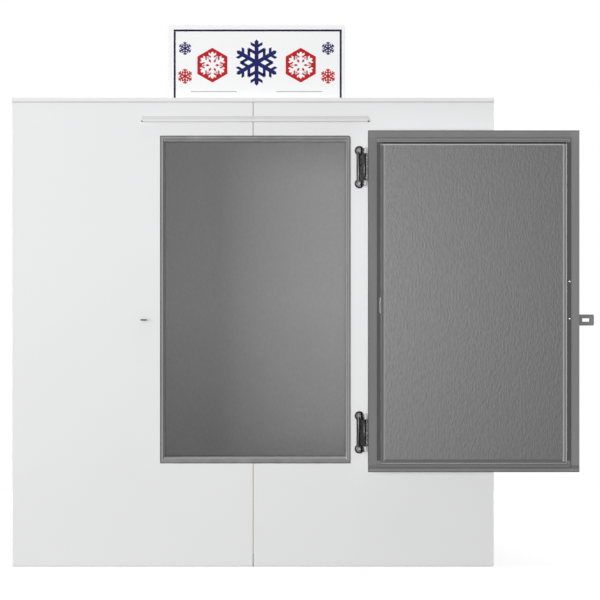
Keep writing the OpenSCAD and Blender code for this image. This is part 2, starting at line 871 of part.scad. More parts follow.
module fan_shroud() color("black") difference() {
    x = [cond_x - cond_w / 2, cond_x + cond_w / 2];
    t = 2;
    union() {
        difference() {
            box(x, [shroud_y, cond_y], [deck_z, deck_z + cond_h]);
            box([x[0] + t, x[1] - t], [shroud_y + t, cond_y + 1],
                [deck_z + t, deck_z + cond_h - t]);
        }
        rod_y([cond_x, shroud_y, fan_z], fan_r + fan_gap + t, 16);
    }
    rod_y([cond_x, shroud_y - 1, fan_z], fan_r + fan_gap, shroud_d);
}

motor_r = 36;
motor_l = 58;
motor_gap = 6;
hub_l = 22;
hub_r = 20;
shaft_r = 4;
fan_y = shroud_y - 6;
motor_y = fan_y - motor_gap - motor_l;

module fan_motor() color("dimgray") difference() {
    union() {
        translate([cond_x, motor_y, fan_z]) rotate([-90, 0, 0]) rotate_extrude() polygon([
            [0, 0], [motor_r - 12, 0], [motor_r, 8], [motor_r, motor_l - 8],
            [motor_r - 12, motor_l], [0, motor_l]
        ]);
        box([cond_x - 22, cond_x + 22], [motor_y + 18, motor_y + 40], [deck_z, fan_z]);
        box([cond_x - 34, cond_x + 34], [motor_y + 8, motor_y + 50], [deck_z, deck_z + 4]);
    }
    rod_y([cond_x, motor_y + 20, fan_z], shaft_r + plug_fit, motor_l);
}

blade_twist = 24;
module fan_blade() color("white") translate([cond_x, fan_y, fan_z]) rotate([-90, 0, 0]) {
    cylinder(r = hub_r, h = hub_l);
    translate([0, 0, -motor_gap - 30]) cylinder(r = shaft_r, h = 40);
    for (i = [0 : fan_blades - 1]) rotate([0, 0, i * 360 / fan_blades])
        translate([0, 0, 2]) linear_extrude(hub_l - 4, twist = blade_twist, slices = 4, $fn = 8)
            polygon([
                [hub_r - 5, -2], [hub_r + 20, -14], [fan_r - 6, -22], [fan_r, -8],
                [fan_r, 4], [fan_r - 3, 10], [fan_r - 7, -10], [hub_r + 20, -8], [hub_r - 5, 3]
            ]);
}

drier_r = 11;
drier_l = 110;
drier_side = 30;
drier_shift = 60;
drier_up = 150;
drier_x = cond_x + cond_w / 2 + drier_side;
drier_y = unit_y - drier_shift;
drier_z = deck_z + drier_up;
line_r = 3.2;
suction_r = 4.75;

module filter_drier() color("peru") translate([drier_x, drier_y - drier_l / 2, drier_z])
    rotate([-90, 0, 0]) rotate_extrude() polygon([
        [0, 0], [line_r + 2, 0], [drier_r, 10], [drier_r, drier_l - 10],
        [line_r + 2, drier_l], [0, drier_l]
    ]);

// Round tube through a list of points, with a brazed elbow at each inner point.
module tube(p, r) {
    for (i = [0 : len(p) - 2]) {
        v = p[i + 1] - p[i];
        translate(p[i]) rotate([0, acos(v[2] / norm(v)), atan2(v[1], v[0])])
            cylinder(r = r, h = norm(v));
    }
    for (i = [1 : len(p) - 2]) translate(p[i]) sphere(r + 0.8);
}

module refrigerant_lines() color("peru") {
    out_x = cond_x + cond_w / 2 + 6;
    cond_mid = cond_y + cond_d / 2;
    top_z = deck_z + cond_h - 22;
    low_z = deck_z + 22;
    stub_z = deck_z + comp_top;
    over_z = stub_z + 10;
    drier_end = drier_y + drier_l / 2;
    // Discharge, from the compressor to the condenser's top row.
    tube([
        [comp_x - stub_x, comp_y, stub_z], [comp_x - stub_x, comp_y, over_z],
        [comp_x - stub_x, cond_mid, over_z], [out_x + 20, cond_mid, over_z],
        [out_x + 20, cond_mid, top_z], [out_x, cond_mid, top_z]
    ], line_r);
    // From the condenser's lowest row to the drier.
    tube([
        [out_x, cond_mid, low_z], [drier_x, cond_mid, low_z], [drier_x, cond_mid, drier_z],
        [drier_x, drier_end, drier_z]
    ], line_r);
    // Liquid line, from the drier to the evaporator's lower lead.
    tube([
        [drier_x, drier_y - drier_l / 2, drier_z], [drier_x, bay_y + 30, drier_z],
        [drier_x, bay_y + 30, lead_end - 30], [lead_in_x, bay_y + 30, lead_end - 30],
        [lead_in_x, evap_y, lead_end - 30], [lead_in_x, evap_y, lead_end]
    ], line_r);
    // Suction line, from the evaporator's upper lead to the compressor.
    tube([
        [lead_out_x, evap_y, lead_end], [lead_out_x, evap_y, deck_z + suction_z],
        [lead_out_x, comp_y, deck_z + suction_z],
        [comp_x + comp_r + stub_l, comp_y, deck_z + suction_z]
    ], suction_r);
}

/* ---- controls and grille ---- */

ctrl_w = 130;
ctrl_d = 92;
ctrl_h = 190;
ctrl_gap = 8;
knob_x = -535;
knob_up = 120;
knob_at = [knob_x, 0, zb + knob_up];
ctrl_x = [knob_x - ctrl_w / 2, knob_x + ctrl_w / 2];
ctrl_y = [yo - ctrl_gap - ctrl_d, yo - ctrl_gap];
knob_r = 18;
knob_l = 16;
knob_stem_r = 3;
window = 26;

module control_box() color("silver") {
    difference() {
        box(ctrl_x, ctrl_y, [zb, zb + ctrl_h]);
        box([ctrl_x[0] + 6, ctrl_x[1] - 6], [ctrl_y[1] - 1, ctrl_y[1] + 1],
            [zb + 6, zb + ctrl_h - 6]);
    }
    rod_y([knob_at[0], ctrl_y[1] - 2, knob_at[2]], knob_stem_r, 14);
}

module control_knob() color("black") difference() {
    translate([knob_at[0], ctrl_y[1] + 0.5, knob_at[2]]) rotate([-90, 0, 0]) union() {
        rotate_extrude() polygon([
            [0, 0], [knob_r + 4, 0], [knob_r + 4, 2], [knob_r, 3], [knob_r - 2, knob_l],
            [0, knob_l]
        ]);
        translate([-2, -knob_r + 4, knob_l - 1]) cube([4, knob_r, 3]);
    }
    rod_y([knob_at[0], ctrl_y[1] - 1, knob_at[2]], knob_stem_r + plug_fit, 14.5);
}

grille_x = bay_x + grille_lap;
grille_z = [bay_z[0] - grille_lap, bay_z[1] + grille_lap];
louvre_x = 225;
louvre_gap = 25;
louvre_out = 7;
gland_x = -700;
gland_up = 60;
gland_z = zb + gland_up;
gland_r = 10;
gland_bore = 4.5;

module rear_grille() color("whitesmoke") {
    y = [yo, yo + skin_t];
    col_pitch = louvre_w + louvre_gap;
    x0 = louvre_x - col_pitch * (louvre_cols - 1) / 2;
    z0 = (bay_z[0] + bay_z[1]) / 2 - louvre_pitch * (louvre_rows - 1) / 2;
    difference() {
        box([-grille_x, grille_x], y, grille_z);
        for (c = [0 : louvre_cols - 1], r = [0 : louvre_rows - 1])
            box([x0 + c * col_pitch - louvre_w / 2, x0 + c * col_pitch + louvre_w / 2],
                [y[0] - 1, y[1] + 1],
                [z0 + r * louvre_pitch - louvre_h / 2, z0 + r * louvre_pitch + louvre_h / 2]);
        rod_y([knob_at[0], yo - 1, knob_at[2]], window, 4);
        rod_y([gland_x, yo - 1, gland_z], gland_r + hole_play, 4);
    }
    for (c = [0 : louvre_cols - 1], r = [0 : louvre_rows - 1])
        along_x([x0 + c * col_pitch - louvre_w / 2, x0 + c * col_pitch + louvre_w / 2])
            translate([y[1], z0 + r * louvre_pitch])
                polygon([
                    [-skin_t / 2, louvre_h / 2], [0, louvre_h / 2 + 1],
                    [louvre_out, -louvre_h / 2 + 1], [louvre_out, -louvre_h / 2],
                    [louvre_out - 1, -louvre_h / 2]
                ]);
}

module cord_gland() color("black") translate([gland_x, yo + skin_t, gland_z])
    rotate([-90, 0, 0]) difference() {
        union() {
            translate([0, 0, -16]) cylinder(r = gland_r, h = 17);
            cylinder(r = 14, h = 5, $fn = 6);
            translate([0, 0, 5]) cylinder(r = 9, h = 8);
            translate([0, 0, -skin_t - 5]) cylinder(r = 14, h = 5, $fn = 6);
        }
        translate([0, 0, -20]) cylinder(r = gland_bore, h = 40);
    }

/* ---- door, drawn shut and then swung open ---- */

module swing() {
    translate([2 * hinge_x, 2 * hinge_y, 0]) rotate([0, 0, 180]) children();
}

door_z = open_z - door_drop;
door_front = -yo - door_gap - door_t;
door_back = -yo - door_gap;
frame_t = 2;
door_x = [open_x - door_w / 2, open_x + door_w / 2];
plug_h = door_gap - jamb_proud - plug_gap;
plug_foot = gasket_w + plug_margin;

// The door's outline, drawn in by m all round.
module door_outline(m) {
    rect([door_x[0] + m, door_x[1] - m], [door_z - door_h / 2 + m, door_z + door_h / 2 - m]);
}

// The inner edge of the grey band, drawn in by m all round.
module ring_outline(m) {
    rect([door_x[0] + band_w + m, door_x[1] - band_w - m],
        [door_z - door_h / 2 + band_foot + m, door_z + door_h / 2 - band_head - m]);
}

glue_gap = 0.1;

// Sloped block on the door's back, drawn in by t on every side and let down by dip.
module plug_block(t, dip = 0) {
    thin = 0.01;
    low = door_back - frame_t;
    high = door_back + plug_h - t;
    hull() {
        upright([low - dip, low + thin]) ring_outline(plug_foot + t);
        upright([high - thin, high]) ring_outline(plug_foot + plug_bevel + t);
    }
}

handle_at = [door_x[0] + handle_x, door_front, handle_z];
bolt_r = 3;
bolt_tip = 5;
bolt_grip = 12;
nut_r = bolt_r + 2.5;
nut_room = nut_r + 1;
leaf_screw_l = 18;
leaf_screw_y = 15;
leaf_screw_pitch = 34;
hasp_y = hinge_y + hinge_out - 30;
hasp_leg = [hasp_y - 22, hasp_y + 10];
hasp_screw_pitch = 24;

module at_bolts() {
    for (s = [-1, 1]) translate(handle_at + [0, 0, s * handle_pitch / 2]) children();
}

module at_leaf_screws() {
    for (z = [hinge_hi_z, hinge_lo_z], i = [-1 : 1])
        translate([door_x[1] + leaf_t, hinge_y + leaf_screw_y, z + i * leaf_screw_pitch])
            rotate([0, -90, 0]) children();
}

module at_hasp_screws() {
    for (s = [-1, 1])
        translate([door_x[0] - hasp_t, hasp_leg[0] + 10, lock_z + s * hasp_screw_pitch / 2])
            rotate([0, 90, 0]) children();
}

module fitting_holes() {
    at_bolts() rod_y([0, -1, 0], bolt_r + hole_play, door_t + 2);
    at_leaf_screws() screw(leaf_screw_l, hole_play);
    at_hasp_screws() screw(leaf_screw_l, hole_play);
}

module door_skin() color("whitesmoke") swing() difference() {
    upright([door_front, door_back - frame_t]) door_outline(0);
    upright([door_front + skin_t, door_back]) door_outline(skin_t);
    fitting_holes();
}

module door_foam() color("khaki") swing() difference() {
    union() {
        upright([door_front + skin_t, door_back - frame_t]) door_outline(skin_t);
        plug_block(liner_t + glue_gap, skin_t);
    }
    fitting_holes();
}

module door_frame() color("gray") swing() difference() {
    upright([door_back - frame_t, door_back]) door_outline(0);
    upright([door_back - frame_t - 1, door_back + 1]) ring_outline(0);
    at_bolts() rod_y([0, 0, 0], nut_room, 2 * door_t);
}

module door_liner() color("gray") swing() difference() {
    union() {
        upright([door_back - frame_t, door_back - frame_t + liner_t]) ring_outline(0);
        plug_block(0);
    }
    plug_block(liner_t, skin_t);
    at_bolts() rod_y([0, 0, 0], bolt_r + hole_play, door_t);
}

gasket_lean = 4;
gasket_base = 3;
module door_gasket() color("dimgray") swing() difference() {
    low = door_back - frame_t + liner_t;
    high = -yo - jamb_proud - gasket_gap;
    thin = 0.01;
    hull() {
        upright([low, low + gasket_base]) ring_outline(glue_gap);
        upright([high - thin, high]) ring_outline(gasket_lean);
    }
    upright([low - 1, high + 1]) ring_outline(gasket_w);
    at_bolts() rod_y([0, 0, 0], nut_room, 2 * door_t);
}

module door_leaves() color("dimgray") swing() difference() {
    at_hinges() linear_extrude(barrel_h, center = true) {
        circle(knuckle_r);
        translate([-hinge_side, -leaf_w / 2 + 2]) square([leaf_t, leaf_w]);
        translate([-hinge_side + 1, -knuckle_r + 2.5])
            square([hinge_side - 4, 2 * knuckle_r - 5]);
    }
    at_hinges() cylinder(r = pin_r + pin_fit, h = leaf_h, center = true);
    at_leaf_screws() translate([0, 0, -0.01]) screw(leaf_screw_l, hole_play);
}

handle_foot_r = 13;
handle_foot_t = 4;
module handle() color("silver") swing() difference() {
    post = handle_out - handle_bend;
    union() {
        for (s = [-1, 1]) translate(handle_at + [0, 0, s * handle_pitch / 2]) {
            rod_y([0, -handle_foot_t, 0], handle_foot_r, handle_foot_t);
            rod_y([0, -post, 0], handle_r, post);
            translate([0, -post, -s * handle_bend]) rotate([0, -s * 90, 0])
                rotate([0, 0, -90]) rotate_extrude(angle = 90)
                    translate([handle_bend, 0]) circle(handle_r);
        }
        translate(handle_at + [0, -handle_out, 0])
            cylinder(r = handle_r, h = handle_pitch - 2 * handle_bend, center = true);
    }
    at_bolts() rod_y([0, -bolt_grip, 0], bolt_r + hole_play, bolt_grip + 1);
}

module hasp() color("silver") swing() difference() {
    union() {
        box([door_x[0] - hasp_t, door_x[0]], hasp_leg, [lock_z - hasp_h / 2, lock_z + hasp_h / 2]);
        upright([hasp_y, hasp_y + hasp_t]) {
            r = 6;
            rect([door_x[0] - hasp_l + r, door_x[0]], [lock_z - hasp_h / 2, lock_z + hasp_h / 2]);
            rect([door_x[0] - hasp_l, door_x[0]],
                [lock_z - hasp_h / 2 + r, lock_z + hasp_h / 2 - r]);
            for (s = [-1, 1])
                translate([door_x[0] - hasp_l + r, lock_z + s * (hasp_h / 2 - r)]) circle(r);
        }
    }
    box([staple_x - slot_w / 2, staple_x + slot_w / 2], [hasp_y - 1, hasp_y + hasp_t + 1],
        [lock_z - slot_h / 2, lock_z + slot_h / 2]);
    at_hasp_screws() translate([0, 0, -0.01]) screw(leaf_screw_l, hole_play);
}

module door_screws() color("silver") swing() {
    at_leaf_screws() screw(leaf_screw_l);
    at_hasp_screws() screw(leaf_screw_l);
    at_bolts() {
        rod_y([0, -bolt_grip, 0], bolt_r, bolt_grip + door_t + bolt_tip - frame_t);
        translate([0, door_t - frame_t + liner_t, 0]) rotate([-90, 0, 0])
            cylinder(r = nut_r, h = bolt_tip - 2, $fn = 6);
    }
}

base_frame();
base_pan();
floor_foam();
bulkhead_foam();
deck_foam();
side_foam_left();
side_foam_right();
back_foam();
roof_foam();
front_foam_left();
front_foam_right();
front_foam_head();
front_foam_sill();
front_skin_left();
front_skin_right();
side_skin_left();
side_skin_right();
back_skin();
roof_pan();
side_liners();
front_liner();
back_liner();
roof_liner();
floor_liner();
step_liner();
bay_liner();
jamb_frame();
rain_gutter();
sign_panel();
sign_brackets();
hinge_brackets();
hinge_pins();
hinge_screws();
hinge_backers();
staple();
floor_rack();
drain_fitting();
drain_plug();
evaporator_tube();
unit_plate();
compressor();
condenser();
fan_shroud();
fan_motor();
fan_blade();
filter_drier();
refrigerant_lines();
control_box();
control_knob();
rear_grille();
cord_gland();
door_skin();
door_foam();
door_frame();
door_liner();
door_gasket();
door_leaves();
handle();
hasp();
door_screws();
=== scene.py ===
"""Looks of an outdoor ice merchandiser: finishes, printed sign, fasteners, gasket and studio light."""
import json
import math

import bmesh
import bpy
from mathutils import Matrix, Vector


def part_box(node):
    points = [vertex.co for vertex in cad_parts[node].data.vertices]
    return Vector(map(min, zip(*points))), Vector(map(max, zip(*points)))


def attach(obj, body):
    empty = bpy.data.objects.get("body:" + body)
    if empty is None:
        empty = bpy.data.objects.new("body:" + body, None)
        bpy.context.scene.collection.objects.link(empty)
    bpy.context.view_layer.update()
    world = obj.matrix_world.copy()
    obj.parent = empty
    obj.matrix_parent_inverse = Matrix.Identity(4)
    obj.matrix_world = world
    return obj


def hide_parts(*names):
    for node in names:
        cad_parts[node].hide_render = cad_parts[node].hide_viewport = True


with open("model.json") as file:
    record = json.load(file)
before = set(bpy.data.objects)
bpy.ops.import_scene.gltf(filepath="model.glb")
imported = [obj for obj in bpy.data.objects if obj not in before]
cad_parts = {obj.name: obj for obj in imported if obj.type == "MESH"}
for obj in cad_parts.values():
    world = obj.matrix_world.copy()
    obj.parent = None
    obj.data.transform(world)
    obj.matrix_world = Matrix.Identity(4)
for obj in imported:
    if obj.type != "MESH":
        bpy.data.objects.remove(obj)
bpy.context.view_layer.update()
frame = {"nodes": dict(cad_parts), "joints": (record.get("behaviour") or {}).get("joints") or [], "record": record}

NODES = frame["nodes"]
MM = 0.001

# Camera: square to the front and a little above mid height, with a small lens shift.
CAMERA_X = 0.0452
CAMERA_Z = 1.112
CAMERA_DISTANCE = 11.0
CAMERA_LENS = 173.96
CAMERA_SHIFT = (0.0583, -0.0443)

# The cabinet's front and back faces, and the door's hinges.
FRONT_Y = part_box("front_skin_left")[0].y
BACK_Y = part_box("back_skin")[1].y
HINGE_AXIS = Vector(next(j for j in frame["joints"] if j["name"] == "door_swing")["pos_m"])
HINGE_HEIGHTS = (1.515, 0.509)


# ---- shader helpers ----

def put(tree, kind, inputs=None, **props):
    """Adds a shader node. Inputs are sockets to link, or constants."""
    made = tree.nodes.new(kind)
    for name, value in props.items():
        setattr(made, name, value)
    for name, value in (inputs or {}).items():
        socket = made.inputs[name]
        if isinstance(value, bpy.types.NodeSocket):
            tree.links.new(value, socket)
        else:
            socket.default_value = value
    return made


def math_node(tree, operation, first, second=0.0):
    return put(tree, "ShaderNodeMath", {0: first, 1: second}, operation=operation).outputs[0]


def remap(tree, value, low, high, to_low=0.0, to_high=1.0):
    """Maps low..high to to_low..to_high, clamped."""
    return put(tree, "ShaderNodeMapRange", {
        "Value": value, "From Min": low, "From Max": high, "To Min": to_low, "To Max": to_high,
    }).outputs["Result"]


def blend_colours(tree, mask, first, second):
    return put(tree, "ShaderNodeMix", {"Factor": mask, "A": first, "B": second},
               data_type="RGBA").outputs["Result"]


def new_group(name, inputs, outputs):
    """A shader group of numbers; it returns the tree, its input sockets and its output sockets."""
    tree = bpy.data.node_groups.new(name, "ShaderNodeTree")
    for label, value in inputs.items():
        socket = tree.interface.new_socket(name=label, in_out="INPUT", socket_type="NodeSocketFloat")
        socket.default_value = value
    for label in outputs:
        tree.interface.new_socket(name=label, in_out="OUTPUT", socket_type="NodeSocketFloat")
    return tree, put(tree, "NodeGroupInput").outputs, put(tree, "NodeGroupOutput").inputs


def object_space(tree, scale=(1.0, 1.0, 1.0)):
    coords = put(tree, "ShaderNodeTexCoord")
    return put(tree, "ShaderNodeMapping", {
        "Vector": coords.outputs["Object"], "Scale": scale,
    }).outputs["Vector"]


def noise(tree, scale, detail=3.0, stretch=(1.0, 1.0, 1.0)):
    return put(tree, "ShaderNodeTexNoise", {
        "Vector": object_space(tree, stretch), "Scale": scale, "Detail": detail,
    }).outputs["Fac"]


def use(tree, group, values):
    """Places a group with this material's values and gives its outputs."""
    return put(tree, "ShaderNodeGroup", values, node_tree=group).outputs


# ---- shared effects ----

def powder_coat_group():
    """Fine orange peel and slow waviness of painted sheet, and a faint cloud of tone."""
    tree, given, end = new_group(
        "powder_coat", {"Peel Scale": 900.0, "Wave Scale": 1.7, "Cloud Scale": 2.6},
        ["Peel", "Wave", "Cloud"])
    tree.links.new(noise(tree, given["Peel Scale"], 2.0), end["Peel"])
    tree.links.new(noise(tree, given["Wave Scale"], 1.0), end["Wave"])
    tree.links.new(noise(tree, given["Cloud Scale"], 4.0), end["Cloud"])
    return tree


def emboss_group():
    """Embossed sheet: short upright waves like leather grain, with small pebbles in them."""
    tree, given, end = new_group(
        "embossed_sheet", {"Across": 150.0, "Along": 34.0, "Pebbles": 0.35}, ["Height"])
    stretch = put(tree, "ShaderNodeCombineXYZ", {
        "X": given["Across"], "Y": given["Across"], "Z": given["Along"],
    }).outputs["Vector"]
    waves = noise(tree, 1.0, 1.0, stretch)
    pebbles = noise(tree, 2.6, 2.0, stretch)
    mixed = math_node(tree, "ADD", waves, math_node(tree, "MULTIPLY", pebbles, given["Pebbles"]))
    tree.links.new(remap(tree, mixed, 0.4, 0.95), end["Height"])
    return tree


def smudge_group():
    """Fine streaks, blotches and grain that break up a gloss."""
    tree, given, end = new_group(
        "smudges", {"Streak Scale": 30.0, "Blotch Scale": 9.0, "Grain Scale": 620.0},
        ["Streak", "Blotch", "Grain"])
    tree.links.new(noise(tree, given["Streak Scale"], 5.0, (1.0, 1.0, 0.12)), end["Streak"])
    tree.links.new(noise(tree, given["Blotch Scale"], 4.0), end["Blotch"])
    tree.links.new(noise(tree, given["Grain Scale"], 2.0), end["Grain"])
    return tree


def border_group():
    """How far a point lies beyond each side of a rectangle in X and Z, in millimetres."""
    tree, given, end = new_group(
        "border", {"Low X": -0.3, "High X": 0.3, "Low Z": 0.5, "High Z": 1.5},
        ["Left", "Right", "Under", "Over"])
    place = put(tree, "ShaderNodeSeparateXYZ", {"Vector": object_space(tree)}).outputs
    gaps = {"Left": (given["Low X"], place["X"]), "Right": (place["X"], given["High X"]),
            "Under": (given["Low Z"], place["Z"]), "Over": (place["Z"], given["High Z"])}
    for label, (first, second) in gaps.items():
        beyond = math_node(tree, "SUBTRACT", first, second)
        tree.links.new(math_node(tree, "MULTIPLY", beyond, 1000.0), end[label])
    return tree


def strip_group():
    """Mask of a strip that lies between two distances from an edge, with soft sides."""
    tree, given, end = new_group(
        "strip", {"Distance": 0.0, "From": 0.0, "To": 5.0, "Soft": 0.6}, ["Mask"])
    starts = math_node(tree, "SUBTRACT", given["Distance"], given["From"])
    stops = math_node(tree, "SUBTRACT", given["To"], given["Distance"])
    nearest = math_node(tree, "DIVIDE", math_node(tree, "MINIMUM", starts, stops), given["Soft"])
    tree.links.new(remap(tree, nearest, -0.5, 0.5), end["Mask"])
    return tree


POWDER = powder_coat_group()
EMBOSS = emboss_group()
SMUDGE = smudge_group()
BORDER = border_group()
STRIP = strip_group()


# ---- materials ----

def new_material(name):
    made = bpy.data.materials.new(name)
    made.use_nodes = True
    return made, made.node_tree, made.node_tree.nodes["Principled BSDF"]


def bump(tree, height, distance, strength=1.0, under=None):
    inputs = {"Height": height, "Distance": distance, "Strength": strength}
    if under is not None:
        inputs["Normal"] = under
    return put(tree, "ShaderNodeBump", inputs).outputs["Normal"]


def borders(tree, node, inset):
    """Distances beyond the four sides of a node's outline, drawn in by an inset."""
    low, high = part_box(node)
    return use(tree, BORDER, {"Low X": low.x + inset * MM, "High X": high.x - inset * MM,
                              "Low Z": low.z + inset * MM, "High Z": high.z - inset * MM})


def grey(value):
    """The faintly warm grey of the trim and the sheets."""
    return (value, value * 0.977, value * 0.988, 1.0)


FAR = 3000.0


def strip(tree, distance, start, stop, soft=0.6):
    return use(tree, STRIP, {"Distance": distance, "From": start, "To": stop, "Soft": soft})["Mask"]


def tones(tree, colour, sides, strips):
    """Lays greys in strips along a piece's edges. Each strip gives a side, where it starts and
    stops in millimetres beyond that side, its grey and, if it isn't crisp, its softness."""
    for side, start, stop, value, *soft in strips:
        colour = blend_colours(tree, strip(tree, sides[side], start, stop, *soft), colour, grey(value))
    return colour


def object_height(tree):
    return put(tree, "ShaderNodeSeparateXYZ", {"Vector": object_space(tree)}).outputs["Z"]


# The white, and a darker copy of it that paints shade towards the floor.
UPPER_WHITE = ((0.74, 0.743, 0.75, 1.0), (0.765, 0.767, 0.773, 1.0))
LOWER_SHADED_WHITE = ((0.712, 0.713, 0.715, 1.0), (0.727, 0.728, 0.73, 1.0))


def painted(name):
    """Glossy white powder coat on flat sheet, darkened by painted shade towards the floor, its colour not yet
    linked.
    """
    made, tree, bsdf = new_material(name)
    coat = use(tree, POWDER, {"Peel Scale": 900.0, "Wave Scale": 1.7, "Cloud Scale": 2.6})
    cloud = remap(tree, coat["Cloud"], 0.35, 0.65)
    unshaded = blend_colours(tree, cloud, *UPPER_WHITE)
    shaded_white = blend_colours(tree, cloud, *LOWER_SHADED_WHITE)
    # Painted shade: the white turns to its darker copy towards the floor.
    colour = blend_colours(tree, remap(tree, object_height(tree), 1.3, 0.1), unshaded, shaded_white)
    tree.links.new(remap(tree, coat["Cloud"], 0.3, 0.7, 0.48, 0.56), bsdf.inputs["Roughness"])
    wave = bump(tree, coat["Wave"], 0.0035)
    tree.links.new(bump(tree, coat["Peel"], 0.00006, 1.0, wave), bsdf.inputs["Normal"])
    return made, tree, bsdf, colour


# Painted shade: a grey strip just below the roof pan's lip.
ROOF_LIP_SHADE = (("Over", -18.4, -12.6, 0.58, 1.2),)


def white_paint():
    """The cabinet's sheets, with a grey line of painted shade under the roof's lip."""
    made, tree, bsdf, colour = painted("white_paint")
    colour = tones(tree, colour, borders(tree, "roof_pan", 0.0), ROOF_LIP_SHADE)
    tree.links.new(colour, bsdf.inputs["Base Color"])
    return made


# Painted shade on the gutter's back leg above the lip, and along its foot.
GUTTER_SHADE = (("Over", -14.0, FAR, 0.6, 1.5), ("Over", -FAR, -21.0, 0.72, 1.5))


def gutter_paint():
    """The rain gutter: its back leg lies in the trough's shade, painted grey as painted shade, with a line of
    painted shade along its foot.
    """
    made, tree, bsdf, colour = painted("gutter_paint")
    colour = tones(tree, colour, borders(tree, "rain_gutter", 0.0), GUTTER_SHADE)
    tree.links.new(colour, bsdf.inputs["Base Color"])
    return made


LINER_WAVES = {"Across": 150.0, "Along": 55.0, "Pebbles": 0.5}


def embossed_liner():
    """Grey embossed sheet of the storage room, satin, painted far lighter than the door's copy of the sheet as
    painted light for the dim room, and darkened by painted shade towards the foot of the walls.
    """
    made, tree, bsdf = new_material("embossed_liner")
    height = use(tree, EMBOSS, LINER_WAVES)["Height"]
    # The light grey is painted light, a lit copy of the door's sheet. The darker grey is painted shade towards the
    # foot of the walls, broken up by blotches.
    unshaded = blend_colours(tree, height, grey(0.305), grey(0.33))
    shaded_liner = blend_colours(tree, height, grey(0.18), grey(0.205))
    patchy = math_node(tree, "MULTIPLY", use(tree, SMUDGE, {"Blotch Scale": 7.0})["Blotch"], 0.2)
    foot_shade = remap(tree, math_node(tree, "ADD", object_height(tree), patchy), 1.08, 0.4)
    tree.links.new(blend_colours(tree, foot_shade, unshaded, shaded_liner), bsdf.inputs["Base Color"])
    tree.links.new(remap(tree, height, 0.0, 1.0, 0.48, 0.44), bsdf.inputs["Roughness"])
    tree.links.new(bump(tree, height, 0.00024), bsdf.inputs["Normal"])
    return made


# How far the plug's face is drawn in from the gasket's outline, and the greys of its folded edge: painted
# highlights on the crest and painted shade on the slopes, different on each side.
PLUG_EDGE = 30.0
PLUG_FOLD_SHADING = (
    ("Under", 0.0, 7.0, 0.177),
    ("Left", 6.5, FAR, 0.172), ("Left", 0.0, 6.5, 0.277),
    ("Right", 6.0, FAR, 0.397), ("Right", 0.0, 6.0, 0.667),
    ("Under", 7.0, FAR, 0.237),
    ("Over", 12.0, FAR, 0.167), ("Over", 5.0, 12.0, 0.067), ("Over", 0.0, 5.0, 0.497),
)


def door_sheet():
    """The same sheet on the door, painted far darker than in the room as a shaded copy of it, drawn smooth where
    it folds over the plug's edge and bright there with painted highlights.
    """
    made, tree, bsdf = new_material("door_sheet")
    height = use(tree, EMBOSS, LINER_WAVES)["Height"]
    out = borders(tree, "door_gasket", PLUG_EDGE)
    # The dark grey is a shaded copy of the room's sheet; the fold's greys are painted highlight and painted shade.
    colour = tones(tree, blend_colours(tree, height, grey(0.058), grey(0.067)), out, PLUG_FOLD_SHADING)
    tree.links.new(colour, bsdf.inputs["Base Color"])
    tree.links.new(remap(tree, height, 0.0, 1.0, 0.395, 0.36), bsdf.inputs["Roughness"])
    side = math_node(tree, "MAXIMUM", out["Left"], out["Right"])
    fold = math_node(tree, "MAXIMUM", side, out["Over"])
    depth = remap(tree, math_node(tree, "MAXIMUM", fold, out["Under"]), -1.0, 2.0, 1.0, 0.1)
    embossed = math_node(tree, "MULTIPLY", height, depth)
    tree.links.new(bump(tree, embossed, 0.0002), bsdf.inputs["Normal"])
    return made


def trim_colour(tree, marks):
    """Grey of the trim, faintly blotched."""
    mask = remap(tree, marks["Blotch"], 0.35, 0.65)
    return blend_colours(tree, mask, grey(0.143), grey(0.157))


TRIM_MARKS = {"Streak Scale": 18.0, "Blotch Scale": 5.0, "Grain Scale": 700.0}
# Painted light and shade: a grey for each side as light falls on it, a strip of painted shade under the gasket's
# bottom run, and painted shade along the outer edge.
BAND_SIDE_SHADING = (("Over", 0.0, FAR, 0.17), ("Under", 0.0, FAR, 0.181), ("Right", 0.0, FAR, 0.192),
              ("Under", -8.0, 5.5, 0.107))
BAND_EDGE_SHADE = (("Left", -3.2, FAR, 0.042, 1.2), ("Over", -3.2, FAR, 0.077, 1.2),
             ("Under", -3.2, FAR, 0.052, 1.2))


def door_band():
    """Grey band round the door's back, with painted shade along its folded outer edge and under the gasket, and a
    painted grey of its own beside each run of the gasket.
    """
    made, tree, bsdf = new_material("door_band")
    marks = use(tree, SMUDGE, TRIM_MARKS)
    out = borders(tree, "door_frame", 0.0)
    ring = borders(tree, "door_gasket", 0.0)
    colour = tones(tree, trim_colour(tree, marks), ring, BAND_SIDE_SHADING)
    colour = tones(tree, colour, out, BAND_EDGE_SHADE)
    tree.links.new(colour, bsdf.inputs["Base Color"])
    tree.links.new(remap(tree, marks["Streak"], 0.3, 0.7, 0.58, 0.68), bsdf.inputs["Roughness"])
    tree.links.new(bump(tree, marks["Grain"], 0.00005), bsdf.inputs["Normal"])
    return made


